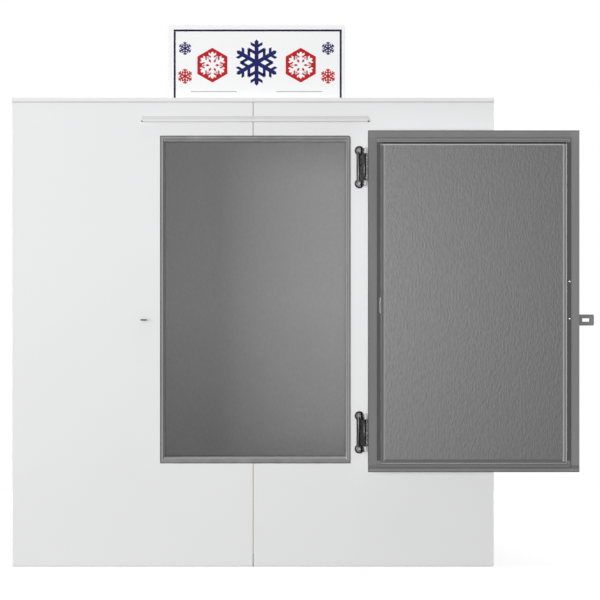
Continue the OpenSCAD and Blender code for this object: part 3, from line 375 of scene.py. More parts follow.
# The jamb from its opening outwards: chamfer, throat, groove, bead and rim, their greys painted light and shade
# that differ on each side.
JAMB_LIGHT_AND_SHADE = (
    ("Under", -22.0, -16.5, 0.26), ("Over", -22.0, -16.5, 0.25),
    ("Left", -17.7, -16.2, 0.55), ("Right", -17.7, -16.2, 0.9),
    ("Under", -23.2, -21.7, 0.75), ("Over", -23.2, -21.7, 0.6),
    ("Left", -16.1, FAR, 0.1), ("Right", -16.1, FAR, 0.14),
    ("Under", -16.1, FAR, 0.09), ("Over", -16.1, FAR, 0.024),
    ("Left", -11.4, FAR, 0.177), ("Right", -11.4, FAR, 0.177),
    ("Under", -11.4, FAR, 0.145), ("Over", -11.4, FAR, 0.16),
    ("Left", -5.4, FAR, 0.015), ("Right", -5.0, FAR, 0.042),
    ("Under", -7.0, FAR, 0.052), ("Over", -5.0, FAR, 0.042),
)


def jamb_trim():
    """Grey profile of the jamb in painted light and shade: a dark rim, a light bead, a dark groove and a light
    throat.
    """
    made, tree, bsdf = new_material("jamb_trim")
    marks = use(tree, SMUDGE, TRIM_MARKS)
    out = borders(tree, "jamb_frame", 0.0)
    tree.links.new(tones(tree, trim_colour(tree, marks), out, JAMB_LIGHT_AND_SHADE), bsdf.inputs["Base Color"])
    tree.links.new(remap(tree, marks["Streak"], 0.3, 0.7, 0.38, 0.5), bsdf.inputs["Roughness"])
    tree.links.new(bump(tree, marks["Grain"], 0.00005), bsdf.inputs["Normal"])
    return made


VINYL_MARKS = {"Streak Scale": 30.0, "Blotch Scale": 14.0, "Grain Scale": 500.0}
# Painted light and shade on the gasket's top and bottom runs.
GASKET_RUN_SHADING = (("Under", -26.0, FAR, 0.132), ("Under", -13.5, -6.5, 0.107), ("Over", -18.0, FAR, 0.177),
                ("Over", -6.0, FAR, 0.117))


def gasket_vinyl():
    """Vinyl of the door's gasket: dark sides, and top and bottom runs painted pale, with darker strips, as painted
    light and shade.
    """
    made, tree, bsdf = new_material("gasket_vinyl")
    marks = use(tree, SMUDGE, VINYL_MARKS)
    colour = blend_colours(tree, marks["Blotch"], grey(0.016), grey(0.032))
    colour = tones(tree, colour, borders(tree, "door_gasket", 0.0), GASKET_RUN_SHADING)
    tree.links.new(colour, bsdf.inputs["Base Color"])
    bsdf.inputs["Roughness"].default_value = 0.6
    tree.links.new(bump(tree, marks["Grain"], 0.00008), bsdf.inputs["Normal"])
    return made


def rubber():
    """Dark vinyl of the drain plug."""
    made, tree, bsdf = new_material("dark_rubber")
    marks = use(tree, SMUDGE, VINYL_MARKS)
    tree.links.new(blend_colours(tree, marks["Blotch"], grey(0.03), grey(0.05)), bsdf.inputs["Base Color"])
    bsdf.inputs["Roughness"].default_value = 0.55
    tree.links.new(bump(tree, marks["Grain"], 0.00008), bsdf.inputs["Normal"])
    return made


METAL_GRAIN = 0.00003
PLASTIC_GRAIN = 0.00006


def metal(name, dark, light, rough_low, rough_high):
    """Bare or plated metal with streaks in its gloss."""
    made, tree, bsdf = new_material(name)
    marks = use(tree, SMUDGE, {"Streak Scale": 45.0, "Blotch Scale": 16.0, "Grain Scale": 800.0})
    mask = remap(tree, marks["Blotch"], 0.3, 0.7)
    tree.links.new(blend_colours(tree, mask, (*dark, 1.0), (*light, 1.0)), bsdf.inputs["Base Color"])
    bsdf.inputs["Metallic"].default_value = 1.0
    rough = remap(tree, marks["Streak"], 0.3, 0.7, rough_low, rough_high)
    tree.links.new(rough, bsdf.inputs["Roughness"])
    tree.links.new(bump(tree, marks["Grain"], METAL_GRAIN), bsdf.inputs["Normal"])
    return made


# Painted shade in the gap beside the spine and on the plate behind the door's leaf, and where the knuckles show
# their painted highlight.
HINGE_GAP_SHADE = (("Right", -28.2, -23.8, 0.004), ("Right", -5.5, FAR, 0.01))
KNUCKLE_SIDE = -15.6
KNUCKLE_END = 51.5


def hinge_chrome():
    """Smoked chrome of the hinge castings, black with painted shade in the gap beside the spine, bright with a
    painted highlight on the knuckles.
    """
    made, tree, bsdf = new_material("hinge_chrome")
    marks = use(tree, SMUDGE, {"Streak Scale": 45.0, "Blotch Scale": 16.0, "Grain Scale": 300.0})
    colour = blend_colours(tree, remap(tree, marks["Blotch"], 0.3, 0.7), grey(0.022), grey(0.045))
    out = borders(tree, "hinge_brackets", 0.0)
    colour = tones(tree, colour, out, HINGE_GAP_SHADE)
    rise = object_height(tree)
    middles = [math_node(tree, "ABSOLUTE", math_node(tree, "SUBTRACT", rise, z)) for z in HINGE_HEIGHTS]
    away = math_node(tree, "MULTIPLY", math_node(tree, "MINIMUM", *middles), 1000.0)
    beside = strip(tree, out["Right"], KNUCKLE_SIDE, FAR)
    beyond = strip(tree, away, KNUCKLE_END, FAR)
    # Painted highlight: the knuckles are painted near white and less metallic.
    knuckle_highlight = math_node(tree, "MULTIPLY", beside, beyond)
    colour = blend_colours(tree, knuckle_highlight, colour, grey(0.85))
    tree.links.new(colour, bsdf.inputs["Base Color"])
    tree.links.new(remap(tree, knuckle_highlight, 0.0, 1.0, 1.0, 0.35), bsdf.inputs["Metallic"])
    tree.links.new(remap(tree, marks["Streak"], 0.3, 0.7, 0.22, 0.3), bsdf.inputs["Roughness"])
    tree.links.new(bump(tree, marks["Grain"], 0.00009), bsdf.inputs["Normal"])
    return made


def galvanised():
    """Zinc-coated sheet with large crystals."""
    made, tree, bsdf = new_material("galvanised")
    crystals = put(tree, "ShaderNodeTexVoronoi", {
        "Vector": object_space(tree), "Scale": 70.0,
    }).outputs["Color"]
    shade = put(tree, "ShaderNodeSeparateColor", {"Color": crystals}).outputs["Red"]
    colour = blend_colours(tree, shade, (0.36, 0.37, 0.39, 1.0), (0.56, 0.57, 0.59, 1.0))
    tree.links.new(colour, bsdf.inputs["Base Color"])
    bsdf.inputs["Metallic"].default_value = 0.9
    tree.links.new(remap(tree, shade, 0.0, 1.0, 0.32, 0.5), bsdf.inputs["Roughness"])
    grain = use(tree, SMUDGE, {"Grain Scale": 900.0})["Grain"]
    tree.links.new(bump(tree, grain, 0.00004), bsdf.inputs["Normal"])
    return made


def plastic(name, colour, rough):
    """Moulded plastic or enamel with a fine texture and uneven gloss."""
    made, tree, bsdf = new_material(name)
    marks = use(tree, SMUDGE, {"Streak Scale": 26.0, "Blotch Scale": 11.0, "Grain Scale": 620.0})
    lighter = tuple(min(1.0, c * 1.12 + 0.004) for c in colour)
    mask = remap(tree, marks["Blotch"], 0.3, 0.7)
    tree.links.new(blend_colours(tree, mask, (*colour, 1.0), (*lighter, 1.0)), bsdf.inputs["Base Color"])
    tree.links.new(remap(tree, marks["Streak"], 0.3, 0.7, rough - 0.06, rough + 0.08),
                   bsdf.inputs["Roughness"])
    tree.links.new(bump(tree, marks["Grain"], PLASTIC_GRAIN), bsdf.inputs["Normal"])
    return made


def foam():
    """Cut edge of rigid insulation: cream, with open cells."""
    made, tree, bsdf = new_material("rigid_foam")
    cells = put(tree, "ShaderNodeTexVoronoi", {
        "Vector": object_space(tree), "Scale": 420.0,
    }).outputs["Distance"]
    colour = blend_colours(tree, cells, (0.62, 0.52, 0.32, 1.0), (0.80, 0.72, 0.52, 1.0))
    tree.links.new(colour, bsdf.inputs["Base Color"])
    bsdf.inputs["Roughness"].default_value = 0.9
    tree.links.new(bump(tree, cells, 0.0006), bsdf.inputs["Normal"])
    return made


def wood():
    """Planed softwood slats with grain along X."""
    made, tree, bsdf = new_material("rack_wood")
    rings = put(tree, "ShaderNodeTexWave", {
        "Vector": object_space(tree, (1.2, 22.0, 22.0)), "Scale": 1.6, "Distortion": 7.0,
        "Detail": 3.0, "Detail Scale": 1.4,
    }, bands_direction="Y").outputs["Fac"]
    fibre = noise(tree, 60.0, 4.0, (0.06, 1.0, 1.0))
    grain = math_node(tree, "MULTIPLY", rings, fibre)
    colour = blend_colours(tree, grain, (0.50, 0.34, 0.18, 1.0), (0.30, 0.18, 0.085, 1.0))
    tree.links.new(colour, bsdf.inputs["Base Color"])
    bsdf.inputs["Roughness"].default_value = 0.62
    tree.links.new(bump(tree, fibre, 0.0004), bsdf.inputs["Normal"])
    return made


def sign_white():
    """Smooth white acrylic of the sign."""
    made, tree, bsdf = new_material("sign_white")
    coat = use(tree, POWDER, {"Peel Scale": 1500.0, "Wave Scale": 3.0, "Cloud Scale": 5.0})
    colour = blend_colours(tree, coat["Cloud"], (0.85, 0.852, 0.86, 1.0), (0.885, 0.887, 0.895, 1.0))
    tree.links.new(colour, bsdf.inputs["Base Color"])
    bsdf.inputs["Roughness"].default_value = 0.5
    tree.links.new(bump(tree, coat["Wave"], 0.001), bsdf.inputs["Normal"])
    return made


def print_ink(name, colour):
    """Screen-printed film on the sign, slightly uneven."""
    made, tree, bsdf = new_material(name)
    marks = use(tree, SMUDGE, {"Streak Scale": 30.0, "Blotch Scale": 40.0, "Grain Scale": 1200.0})
    darker = tuple(c * 0.86 for c in colour)
    mask = remap(tree, marks["Blotch"], 0.35, 0.65)
    tree.links.new(blend_colours(tree, mask, (*colour, 1.0), (*darker, 1.0)), bsdf.inputs["Base Color"])
    bsdf.inputs["Roughness"].default_value = 0.75
    bsdf.inputs["Specular IOR Level"].default_value = 0.2
    tree.links.new(bump(tree, marks["Grain"], 0.00002), bsdf.inputs["Normal"])
    return made


WHITE = white_paint()
GUTTER = gutter_paint()
LINER = embossed_liner()
DOOR_SHEET = door_sheet()
TRIM = jamb_trim()
DOOR_BAND = door_band()
GASKET = gasket_vinyl()
RUBBER = rubber()
ZINC = galvanised()
DARK_CHROME = metal("dark_chrome", (0.02, 0.0195, 0.02), (0.042, 0.041, 0.042), 0.22, 0.3)
HINGE_CHROME = hinge_chrome()
BLACK_SCREW = metal("black_screw", (0.07, 0.07, 0.071), (0.12, 0.12, 0.121), 0.3, 0.4)
CHROME = metal("bright_chrome", (0.36, 0.36, 0.365), (0.46, 0.46, 0.465), 0.2, 0.32)
STEEL = metal("plated_steel", (0.42, 0.42, 0.43), (0.55, 0.55, 0.56), 0.28, 0.42)
DARK_STEEL = metal("dark_steel", (0.02, 0.02, 0.0205), (0.04, 0.04, 0.0405), 0.4, 0.5)
WORN_STEEL = metal("worn_steel", (0.082, 0.082, 0.083), (0.115, 0.115, 0.116), 0.5, 0.6)
COPPER = metal("copper", (0.56, 0.26, 0.14), (0.72, 0.36, 0.2), 0.25, 0.45)
FIN_METAL = metal("fin_metal", (0.5, 0.5, 0.51), (0.64, 0.64, 0.65), 0.35, 0.5)
BLACK_PAINT = plastic("black_enamel", (0.016, 0.016, 0.017), 0.34)
BLACK_PLASTIC = plastic("black_plastic", (0.02, 0.02, 0.021), 0.45)
GREY_PAINT = plastic("grey_enamel", (0.14, 0.145, 0.15), 0.42)
WHITE_PLASTIC = plastic("white_plastic", (0.68, 0.68, 0.67), 0.4)
FOAM = foam()
WOOD = wood()
SIGN_WHITE = sign_white()
NAVY = print_ink("navy_ink", (0.010, 0.014, 0.12))
LINE_INK = print_ink("line_ink", (0.008, 0.009, 0.03))
RED = print_ink("red_ink", (0.55, 0.012, 0.02))
RULE_GREY = print_ink("grey_ink", (0.42, 0.43, 0.47))

SLOT_MATERIALS = {
    "white_paint": WHITE, "stucco_liner": LINER, "foam": FOAM, "grey_trim": TRIM,
    "zinc_steel": ZINC, "dark_chrome": DARK_CHROME, "bright_chrome": CHROME,
    "black_plastic": BLACK_PLASTIC, "copper": COPPER, "black_paint": BLACK_PAINT,
    "grey_paint": GREY_PAINT, "gasket_rubber": RUBBER, "sign_face": SIGN_WHITE,
    "rack_wood": WOOD, "white_plastic": WHITE_PLASTIC, "fin_aluminium": FIN_METAL,
}


def finish_cad_nodes():
    """Gives each CAD node the finish of its slot."""
    for part in frame["record"]["subparts"]:
        mesh = NODES[part["node"]].data
        mesh.materials.clear()
        mesh.materials.append(SLOT_MATERIALS[part["material_slot"]])
    NODES["door_liner"].data.materials[0] = DOOR_SHEET
    NODES["door_frame"].data.materials[0] = DOOR_BAND
    NODES["hinge_brackets"].data.materials[0] = HINGE_CHROME
    NODES["rain_gutter"].data.materials[0] = GUTTER
    NODES["hasp"].data.materials[0] = WORN_STEEL
    NODES["staple"].data.materials[0] = DARK_STEEL


# ---- mesh helpers ----

def add_piece(name, bm, material, body):
    """Turns a bmesh into a piece that rides on a body."""
    mesh = bpy.data.meshes.new(name)
    bmesh.ops.recalc_face_normals(bm, faces=bm.faces)
    bm.to_mesh(mesh)
    bm.free()
    mesh.materials.append(material)
    piece = bpy.data.objects.new(name, mesh)
    bpy.context.scene.collection.objects.link(piece)
    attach(piece, body)
    return piece


def soften(piece, width, segments=2, angle=35.0):
    """Rounds a piece's sharp edges with a small bevel."""
    made = piece.modifiers.new("edge", "BEVEL")
    made.width = width
    made.segments = segments
    made.limit_method = "ANGLE"
    made.angle_limit = math.radians(angle)
    made.use_clamp_overlap = True


def facing(place, direction, spin=0.0):
    """Matrix that puts local +Z along a direction, at a place."""
    turn = Vector(direction).to_track_quat("Z", "Y").to_matrix().to_4x4()
    return Matrix.Translation(place) @ turn @ Matrix.Rotation(spin, 4, "Z")


def ring_of(bm, matrix, radius, height, count):
    made = []
    for i in range(count):
        angle = 2.0 * math.pi * i / count
        made.append(bm.verts.new(matrix @ Vector(
            (radius * math.cos(angle), radius * math.sin(angle), height))))
    return made


def join_rings(bm, first, second):
    count = len(first)
    for i in range(count):
        k = (i + 1) % count
        bm.faces.new((first[i], first[k], second[k], second[i]))


def revolve(bm, matrix, profile, count=28):
    """Turned body from (radius, height) pairs, closed at both ends."""
    rings = [ring_of(bm, matrix, r * MM, h * MM, count) for r, h in profile]
    for first, second in zip(rings, rings[1:]):
        join_rings(bm, first, second)
    bm.faces.new(list(reversed(rings[0])))
    bm.faces.new(rings[-1])


def prism(bm, matrix, outline, low, high):
    """Straight body between two heights, from an outline in millimetres."""
    below = [bm.verts.new(matrix @ Vector((x * MM, y * MM, low * MM))) for x, y in outline]
    above = [bm.verts.new(matrix @ Vector((x * MM, y * MM, high * MM))) for x, y in outline]
    join_rings(bm, below, above)
    caps = [bm.faces.new(list(reversed(below))), bm.faces.new(above)]
    for cap in caps:
        cap.normal_update()
    bmesh.ops.triangulate(bm, faces=caps, ngon_method="EAR_CLIP")


def cross_recess(bm, matrix, rim, arm, half, height, depth):
    """Flat top with a cross-shaped recess, from the rim's vertices inwards."""
    outline = [(arm, -half), (arm, half), (half, half), (half, arm), (-half, arm), (-half, half),
               (-arm, half), (-arm, -half), (-half, -half), (-half, -arm), (half, -arm), (half, -half)]
    top = [bm.verts.new(matrix @ Vector((x * MM, y * MM, height * MM))) for x, y in outline]
    floor = [bm.verts.new(matrix @ Vector((x * 0.7 * MM, y * 0.7 * MM, (height - depth) * MM)))
             for x, y in outline]
    join_rings(bm, floor, top)
    bm.faces.new(floor)
    edges = []
    for loop in (rim, top):
        for i, vert in enumerate(loop):
            after = loop[(i + 1) % len(loop)]
            edges.append(bm.edges.get((vert, after)) or bm.edges.new((vert, after)))
    bmesh.ops.triangle_fill(bm, use_beauty=True, edges=edges)


def cross_screw(bm, place, direction, radius, height, shank_r, shank_l, spin):
    """Raised screw head with a cross recess, on a shank that goes into its hole."""
    matrix = facing(place, direction, spin)
    shape = [(shank_r * 0.4, -shank_l), (shank_r, -shank_l + 2.0), (shank_r, 0.0), (radius * 0.96, 0.05),
             (radius, 0.3 * height), (radius * 0.9, 0.72 * height), (radius * 0.68, height)]
    rings = [ring_of(bm, matrix, r * MM, h * MM, 28) for r, h in shape]
    for first, second in zip(rings, rings[1:]):
        join_rings(bm, first, second)
    bm.faces.new(list(reversed(rings[0])))
    cross_recess(bm, matrix, rings[-1], radius * 0.5, radius * 0.13, height, height * 0.8)


# ---- hinges ----

# The ears' screws from the hinge's axis, and the sizes of the two kinds of screw.
EAR_PITCH = 125.0 * MM
EAR_X = 17.5 * MM
EAR_FACE = 32.0 * MM
EAR_SCREW = {"radius": 6.6, "height": 2.6, "shank_r": 2.6, "shank_l": 15.5}
EDGE_SCREW = {"radius": 5.4, "height": 1.4, "shank_r": 2.6, "shank_l": 17.0}


def hinge_screws():
    bm = bmesh.new()
    for height in HINGE_HEIGHTS:
        for k, side in enumerate((-1, 1)):
            place = (HINGE_AXIS.x - EAR_X, HINGE_AXIS.y + EAR_FACE, height + side * EAR_PITCH / 2)
            cross_screw(bm, place, (0, -1, 0), **EAR_SCREW, spin=0.35 + 0.6 * k)
    piece = add_piece("hinge_screws_dressed", bm, BLACK_SCREW, "cabinet")
    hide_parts("hinge_screws")


# ---- door ----

def frame_sweep(bm, box_low, box_high, base_y, profile):
    """Mitred frame in the X-Z plane: profile pairs are (inset, height towards -Y)."""
    loops = []
    for inset, height in profile:
        x0, x1 = box_low.x + inset * MM, box_high.x - inset * MM
        z0, z1 = box_low.z + inset * MM, box_high.z - inset * MM
        y = base_y - height * MM
        loops.append([bm.verts.new(c) for c in ((x0, y, z0), (x1, y, z0), (x1, y, z1), (x0, y, z1))])
    for first, second in zip(loops, loops[1:] + loops[:1]):
        join_rings(bm, first, second)


# The gasket's section: inset from its outline, and height off the band.
GASKET_SECTION = (
    (0.1, 0.0), (0.1, 1.4), (1.6, 2.2), (0.7, 4.2), (0.7, 10.6), (1.7, 11.7), (3.2, 12.1),
    (10.8, 12.1), (12.2, 11.7), (13.1, 10.6), (13.1, 4.2), (12.0, 2.2), (13.4, 1.4), (13.4, 0.0),
)


def door_gasket():
    """Magnetic gasket: a base, a waist and a broad flat head, mitred at the corners."""
    low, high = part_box("door_gasket")
    bm = bmesh.new()
    frame_sweep(bm, low, high, high.y, GASKET_SECTION)
    piece = add_piece("door_gasket_dressed", bm, GASKET, "door")
    soften(piece, 0.0003, 2, 20.0)
    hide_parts("door_gasket")


# The splice's curled lip: how far in and how deep it lies, its thickness, and its outline across
# the gasket and in height above the floor.
SPLICE_INSET = 11.0 * MM
SPLICE_DEPTH = 0.7 * MM
SPLICE_T = 0.65
SPLICE_LIP = (
    (-1.4, 1002.0), (-0.4, 1013.5), (0.7, 1021.5), (1.6, 1022.5), (2.0, 1021.0), (1.0, 1012.0),
    (0.2, 999.0), (0.6, 969.0), (1.4, 962.0), (0.6, 961.0), (-1.0, 970.0),
)


def gasket_splice():
    """Bright curled lip at the gasket's joint, on the hinge side."""
    low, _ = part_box("door_gasket")
    place = Matrix.Translation((low.x + SPLICE_INSET, low.y + SPLICE_DEPTH, 0.0))
    bm = bmesh.new()
    prism(bm, place @ Matrix.Rotation(math.pi / 2, 4, "X"), SPLICE_LIP, 0.0, SPLICE_T)
    add_piece("gasket_splice_lip", bm, WHITE_PLASTIC, "door")


BOLT_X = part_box("handle")[0].x / 2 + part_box("handle")[1].x / 2
BOLT_HEIGHTS = (0.9410, 1.0820)
BOLT_R = 3.0
BOLT_L = 49.0
HASP_HEIGHTS = (0.924, 0.948)
# The leaves' and the hasp's screws, in from the hinge's axis, and the leaves' from one another.
LEAF_SCREW_SET = -15.0 * MM
HASP_SCREW_SET = 2.0 * MM
LEAF_SCREW_PITCH = 34.0 * MM


def hex_nut(bm, matrix, across, height, bore):
    """Chamfered hexagon nut with a bore."""
    corner = across / math.sqrt(3.0)
    shape = [(corner * 0.93, 0.0), (corner, 0.35), (corner, height - 0.35), (corner * 0.93, height)]
    rings = [ring_of(bm, matrix, r * MM, h * MM, 6) for r, h in shape]
    for first, second in zip(rings, rings[1:]):
        join_rings(bm, first, second)
    bm.faces.new(list(reversed(rings[0])))
    bm.faces.new(rings[-1])
    revolve(bm, matrix, [(bore, height - 0.1), (bore, height + 0.05), (bore * 0.8, height + 0.06)], 20)


def handle_bolt(bm, height):
    """Bolt of the handle through the door, its last threads bare, with its nut."""
    head_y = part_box("door_skin")[1].y
    nut_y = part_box("door_gasket")[1].y
    thread = [(BOLT_R, 0.0), (BOLT_R, BOLT_L - 5.0)]
    for k in range(4):
        thread += [(BOLT_R - 0.4, BOLT_L - 4.7 + k), (BOLT_R, BOLT_L - 4.2 + k)]
    thread += [(BOLT_R - 0.6, BOLT_L)]
    revolve(bm, facing((BOLT_X, head_y, height), (0, -1, 0)), thread, 20)
    hex_nut(bm, facing((BOLT_X, nut_y, height), (0, -1, 0), 0.2), 9.0, 2.6, BOLT_R)


def door_screws():
    """Screws of the leaves and the hasp, and the handle's bolts with their nuts."""
    bm = bmesh.new()
    low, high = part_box("door_screws")
    for height in HINGE_HEIGHTS:
        for i in (-1, 0, 1):
            place = (low.x, HINGE_AXIS.y + LEAF_SCREW_SET, height + i * LEAF_SCREW_PITCH)
            cross_screw(bm, place, (-1, 0, 0), **EDGE_SCREW, spin=0.4 * i)
    for k, height in enumerate(HASP_HEIGHTS):
        place = (high.x, HINGE_AXIS.y + HASP_SCREW_SET, height)
        cross_screw(bm, place, (1, 0, 0), **EDGE_SCREW, spin=0.5 * k)
    for height in BOLT_HEIGHTS:
        handle_bolt(bm, height)
    piece = add_piece("door_screws_dressed", bm, CHROME, "door")
    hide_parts("door_screws")


# ---- sign ----

def flake_outline(radius, arm, barbs):
    """Outline of a six-armed snowflake: half an arm, mirrored, six times round."""
    half = [(math.sqrt(3.0) * arm, arm)]
    for start, length, width in barbs:
        reach = (length * 0.5, length * math.sqrt(3.0) / 2.0)
        half += [(start, arm), (start + reach[0], arm + reach[1]),
                 (start + reach[0] + width, arm + reach[1]), (start + width, arm)]
    half += [(radius - arm, arm)]
    whole = half + [(radius, 0.0)] + [(x, -y) for x, y in reversed(half[1:])]
    outline = []
    for k in range(6):
        turn = Matrix.Rotation(-k * math.pi / 3.0, 2)
        outline += [tuple(turn @ Vector(p)) for p in whole]
    return outline


# The print in millimetres, from the middle of the sign's foot: its thickness, the border's width
# and insets from the left, right, foot and top, and the place and size of each motif.
PRINT_T = 0.2
BORDER_W = 7.5
BORDER_IN = (20.9, 12.2, 2.0, 17.2)
RULE_Z = (24.0, 27.0)
CENTRE_FLAKE = (0.0, 136.0, 88.0, 0.085)
TILES = ((-168.0, 126.0, 66.0), (168.0, 126.0, 66.0))
TILE_FLAKES = ((-168.0, 126.0, 52.0, 0.1), (168.0, 126.0, 52.0, 0.1))
NAVY_FLAKES = ((-272.0, 190.0, 26.0, 0.1), (272.0, 190.0, 26.0, 0.1))
RED_FLAKES = ((-272.0, 84.0, 30.0, 0.1), (272.0, 84.0, 30.0, 0.1))
RULES = ((-250.0, -76.0), (76.0, 250.0))


def sign_flake(x, z, radius, bold):
    """Snowflake round a point of the sign; bold is its arms' half width as a share of its radius."""
    arm = radius * bold
    barbs = [(radius * 0.36, radius * 0.3, arm * 1.7), (radius * 0.66, radius * 0.2, arm * 1.6)]
    upright = Matrix.Rotation(math.pi / 6.0, 2)
    return [tuple(upright @ Vector(p) + Vector((x, z))) for p in flake_outline(radius, arm, barbs)]


def sign_hexagon(x, z, radius):
    corners = [math.radians(a) for a in range(360, 0, -60)]
    return [(x + radius * math.sin(a), z + radius * math.cos(a)) for a in corners]


def sign_rule(start, end):
    return [(start, RULE_Z[0]), (end, RULE_Z[0]), (end, RULE_Z[1]), (start, RULE_Z[1])]


def border_line(left, right, foot, top):
    """Outline of the line that runs up, across and down, open at the foot."""
    inner_left, inner_right, inner_top = left + BORDER_W, right - BORDER_W, top - BORDER_W
    return [(left, foot), (inner_left, foot), (inner_left, inner_top), (inner_right, inner_top),
            (inner_right, foot), (right, foot), (right, top), (left, top)]


def sign_print():
    """Border line, rules and snowflakes on the sign's face."""
    low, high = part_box("sign_panel")
    half = (high.x - low.x) / 2 / MM
    tall = (high.z - low.z) / MM
    left, right, foot, top = BORDER_IN
    border = border_line(left - half, half - right, foot, tall - top)
    face = Matrix(((1, 0, 0, (low.x + high.x) / 2), (0, 0, -1, low.y), (0, 1, 0, low.z), (0, 0, 0, 1)))
    prints = (
        ("sign_border", LINE_INK, [border], PRINT_T),
        ("sign_centre_flake", NAVY, [sign_flake(*CENTRE_FLAKE)], PRINT_T),
        ("sign_tiles", RED, [sign_hexagon(*tile) for tile in TILES], PRINT_T),
        ("sign_tile_flakes", SIGN_WHITE, [sign_flake(*flake) for flake in TILE_FLAKES], PRINT_T * 1.5),
        ("sign_small_flakes", NAVY, [sign_flake(*flake) for flake in NAVY_FLAKES], PRINT_T),
        ("sign_red_flakes", RED, [sign_flake(*flake) for flake in RED_FLAKES], PRINT_T),
        ("sign_rules", RULE_GREY, [sign_rule(*ends) for ends in RULES], PRINT_T),
    )
    for name, ink, outlines, thick in prints:
        bm = bmesh.new()
        for outline in outlines:
            prism(bm, face, outline, 0.0, thick)
        add_piece(name, bm, ink, "cabinet")


# ---- small trim ----

# Dark plug in each end of the trough, standing in for the shade in its hollow ends: radius and height pairs, and
# how far in, back and up it sits.
GUTTER_END_SHADE = ((2.6, 0.0), (3.4, 4.6), (3.0, 5.4), (1.6, 5.8))
GUTTER_END_SHADE_AT = (0.5 * MM, 5.8 * MM, 4.0 * MM)


def gutter_ends():
    """Dark plugs in the ends of the rain gutter's trough, as painted shade of its hollow ends."""
    low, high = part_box("rain_gutter")
    inward, back, up = GUTTER_END_SHADE_AT
    bm = bmesh.new()
    for x in (low.x + inward, high.x - inward):
        revolve(bm, facing((x, low.y + back, low.z + up), (0, -1, 0)), GUTTER_END_SHADE, 20)
    add_piece("gutter_ends", bm, BLACK_PLASTIC, "cabinet")


# Section of the hem: depth behind the sheet's face, and height above the floor.
HEM_FOLD = ((0.0, 3.2), (0.0, 1.2), (0.4, 0.6), (1.2, 0.4), (3.0, 0.4), (3.0, 1.4), (1.0, 1.4),
            (1.0, 3.2))
HEM_SHORT = 0.5


def front_hems():
    """Folded hems along the foot of the two front sheets, down to the floor."""
    bm = bmesh.new()
    for node in ("front_skin_left", "front_skin_right"):
        low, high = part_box(node)
        side = Matrix(((0, 0, 1, low.x), (1, 0, 0, low.y), (0, 1, 0, 0), (0, 0, 0, 1)))
        prism(bm, side, HEM_FOLD, HEM_SHORT, (high.x - low.x) / MM - HEM_SHORT)
    add_piece("front_hems", bm, WHITE, "cabinet")


# Domed cap, and how far it starts behind the gasket's face.
BOLT_CAP = ((2.9, 0.0), (2.9, 1.2), (2.6, 1.45), (1.9, 1.68), (0.9, 1.78))
BOLT_CAP_SINK = 1.8 * MM


def bolt_caps():
    """Bright caps on the gasket over the ends of the handle's bolts."""
    bm = bmesh.new()
    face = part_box("door_gasket")[0].y
    for height in BOLT_HEIGHTS:
        revolve(bm, facing((BOLT_X, face + BOLT_CAP_SINK, height), (0, -1, 0)), BOLT_CAP, 24)
    add_piece("bolt_caps", bm, CHROME, "door")


GRILLE_SCREW_SET = 9.0 * MM
GRILLE_SCREW_ROW = 7


def grille_screws():
    """Hexagon sheet screws on their washers, along the top and the foot of the rear grille."""
    low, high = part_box("rear_grille")
    first, last = low.x + GRILLE_SCREW_SET, high.x - GRILLE_SCREW_SET
    bm = bmesh.new()
    for k in range(GRILLE_SCREW_ROW):
        x = first + (last - first) * k / (GRILLE_SCREW_ROW - 1)
        for z in (low.z + GRILLE_SCREW_SET, high.z - GRILLE_SCREW_SET):
            matrix = facing((x, BACK_Y + MM, z), (0, 1, 0), 0.4)
            revolve(bm, matrix, ((5.0, 0.0), (5.0, 0.6), (4.2, 1.0)), 24)
            hex_nut(bm, matrix, 7.0, 3.6, 1.2)
    add_piece("grille_screws", bm, STEEL, "cabinet")


# Bevel of each CAD node's edges, in millimetres.
EDGE_WIDTHS = {
    "door_skin": 2.0, "door_frame": 1.4, "door_liner": 3.0, "jamb_frame": 0.9, "roof_pan": 0.9,
    "hinge_brackets": 2.0, "door_leaves": 0.8, "sign_panel": 1.2, "hasp": 0.8, "staple": 0.8,
    "hinge_pins": 0.8, "rain_gutter": 0.4, "compressor": 1.5, "control_knob": 0.6,
    "fan_shroud": 0.8, "floor_rack": 1.0, "drain_fitting": 0.5, "drain_plug": 0.5,
}


def rounded_cad_edges():
    """Small rounded edges on the CAD nodes, as folded sheet and castings have."""
    for name, width in EDGE_WIDTHS.items():
        node = NODES[name]
        weld = node.modifiers.new("weld", "WELD")
        weld.merge_threshold = 0.00001
        soften(node, width * MM, 3 if width >= 2.0 else 2, 30.0)


# ---- studio ----

FLOOR_GLOW = 0.8
FLOOR_RADIUS = 3.4


def backdrop_rays(tree):
    """1 for the rays that show the backdrop: from the camera, off a gloss or through glass."""
    rays = put(tree, "ShaderNodeLightPath").outputs
    sharp = math_node(tree, "MAXIMUM", rays["Is Glossy Ray"], rays["Is Transmission Ray"])
    return math_node(tree, "MAXIMUM", rays["Is Camera Ray"], sharp)


def floor_material():
    """Pale floor, white where the camera sees it lit, so that only the soft shadow shows."""
    made, tree, bsdf = new_material("studio_floor")
    bsdf.inputs["Base Color"].default_value = (0.2, 0.2, 0.2, 1.0)
    bsdf.inputs["Roughness"].default_value = 0.9
    bsdf.inputs["Emission Color"].default_value = (1.0, 1.0, 1.0, 1.0)
    seen = backdrop_rays(tree)
    away = put(tree, "ShaderNodeVectorMath", {0: object_space(tree)}, operation="LENGTH").outputs["Value"]
    glow = remap(tree, away, FLOOR_RADIUS * 0.5, FLOOR_RADIUS * 0.95, FLOOR_GLOW, 1.0)
    tree.links.new(math_node(tree, "MULTIPLY", seen, glow), bsdf.inputs["Emission Strength"])
    return made


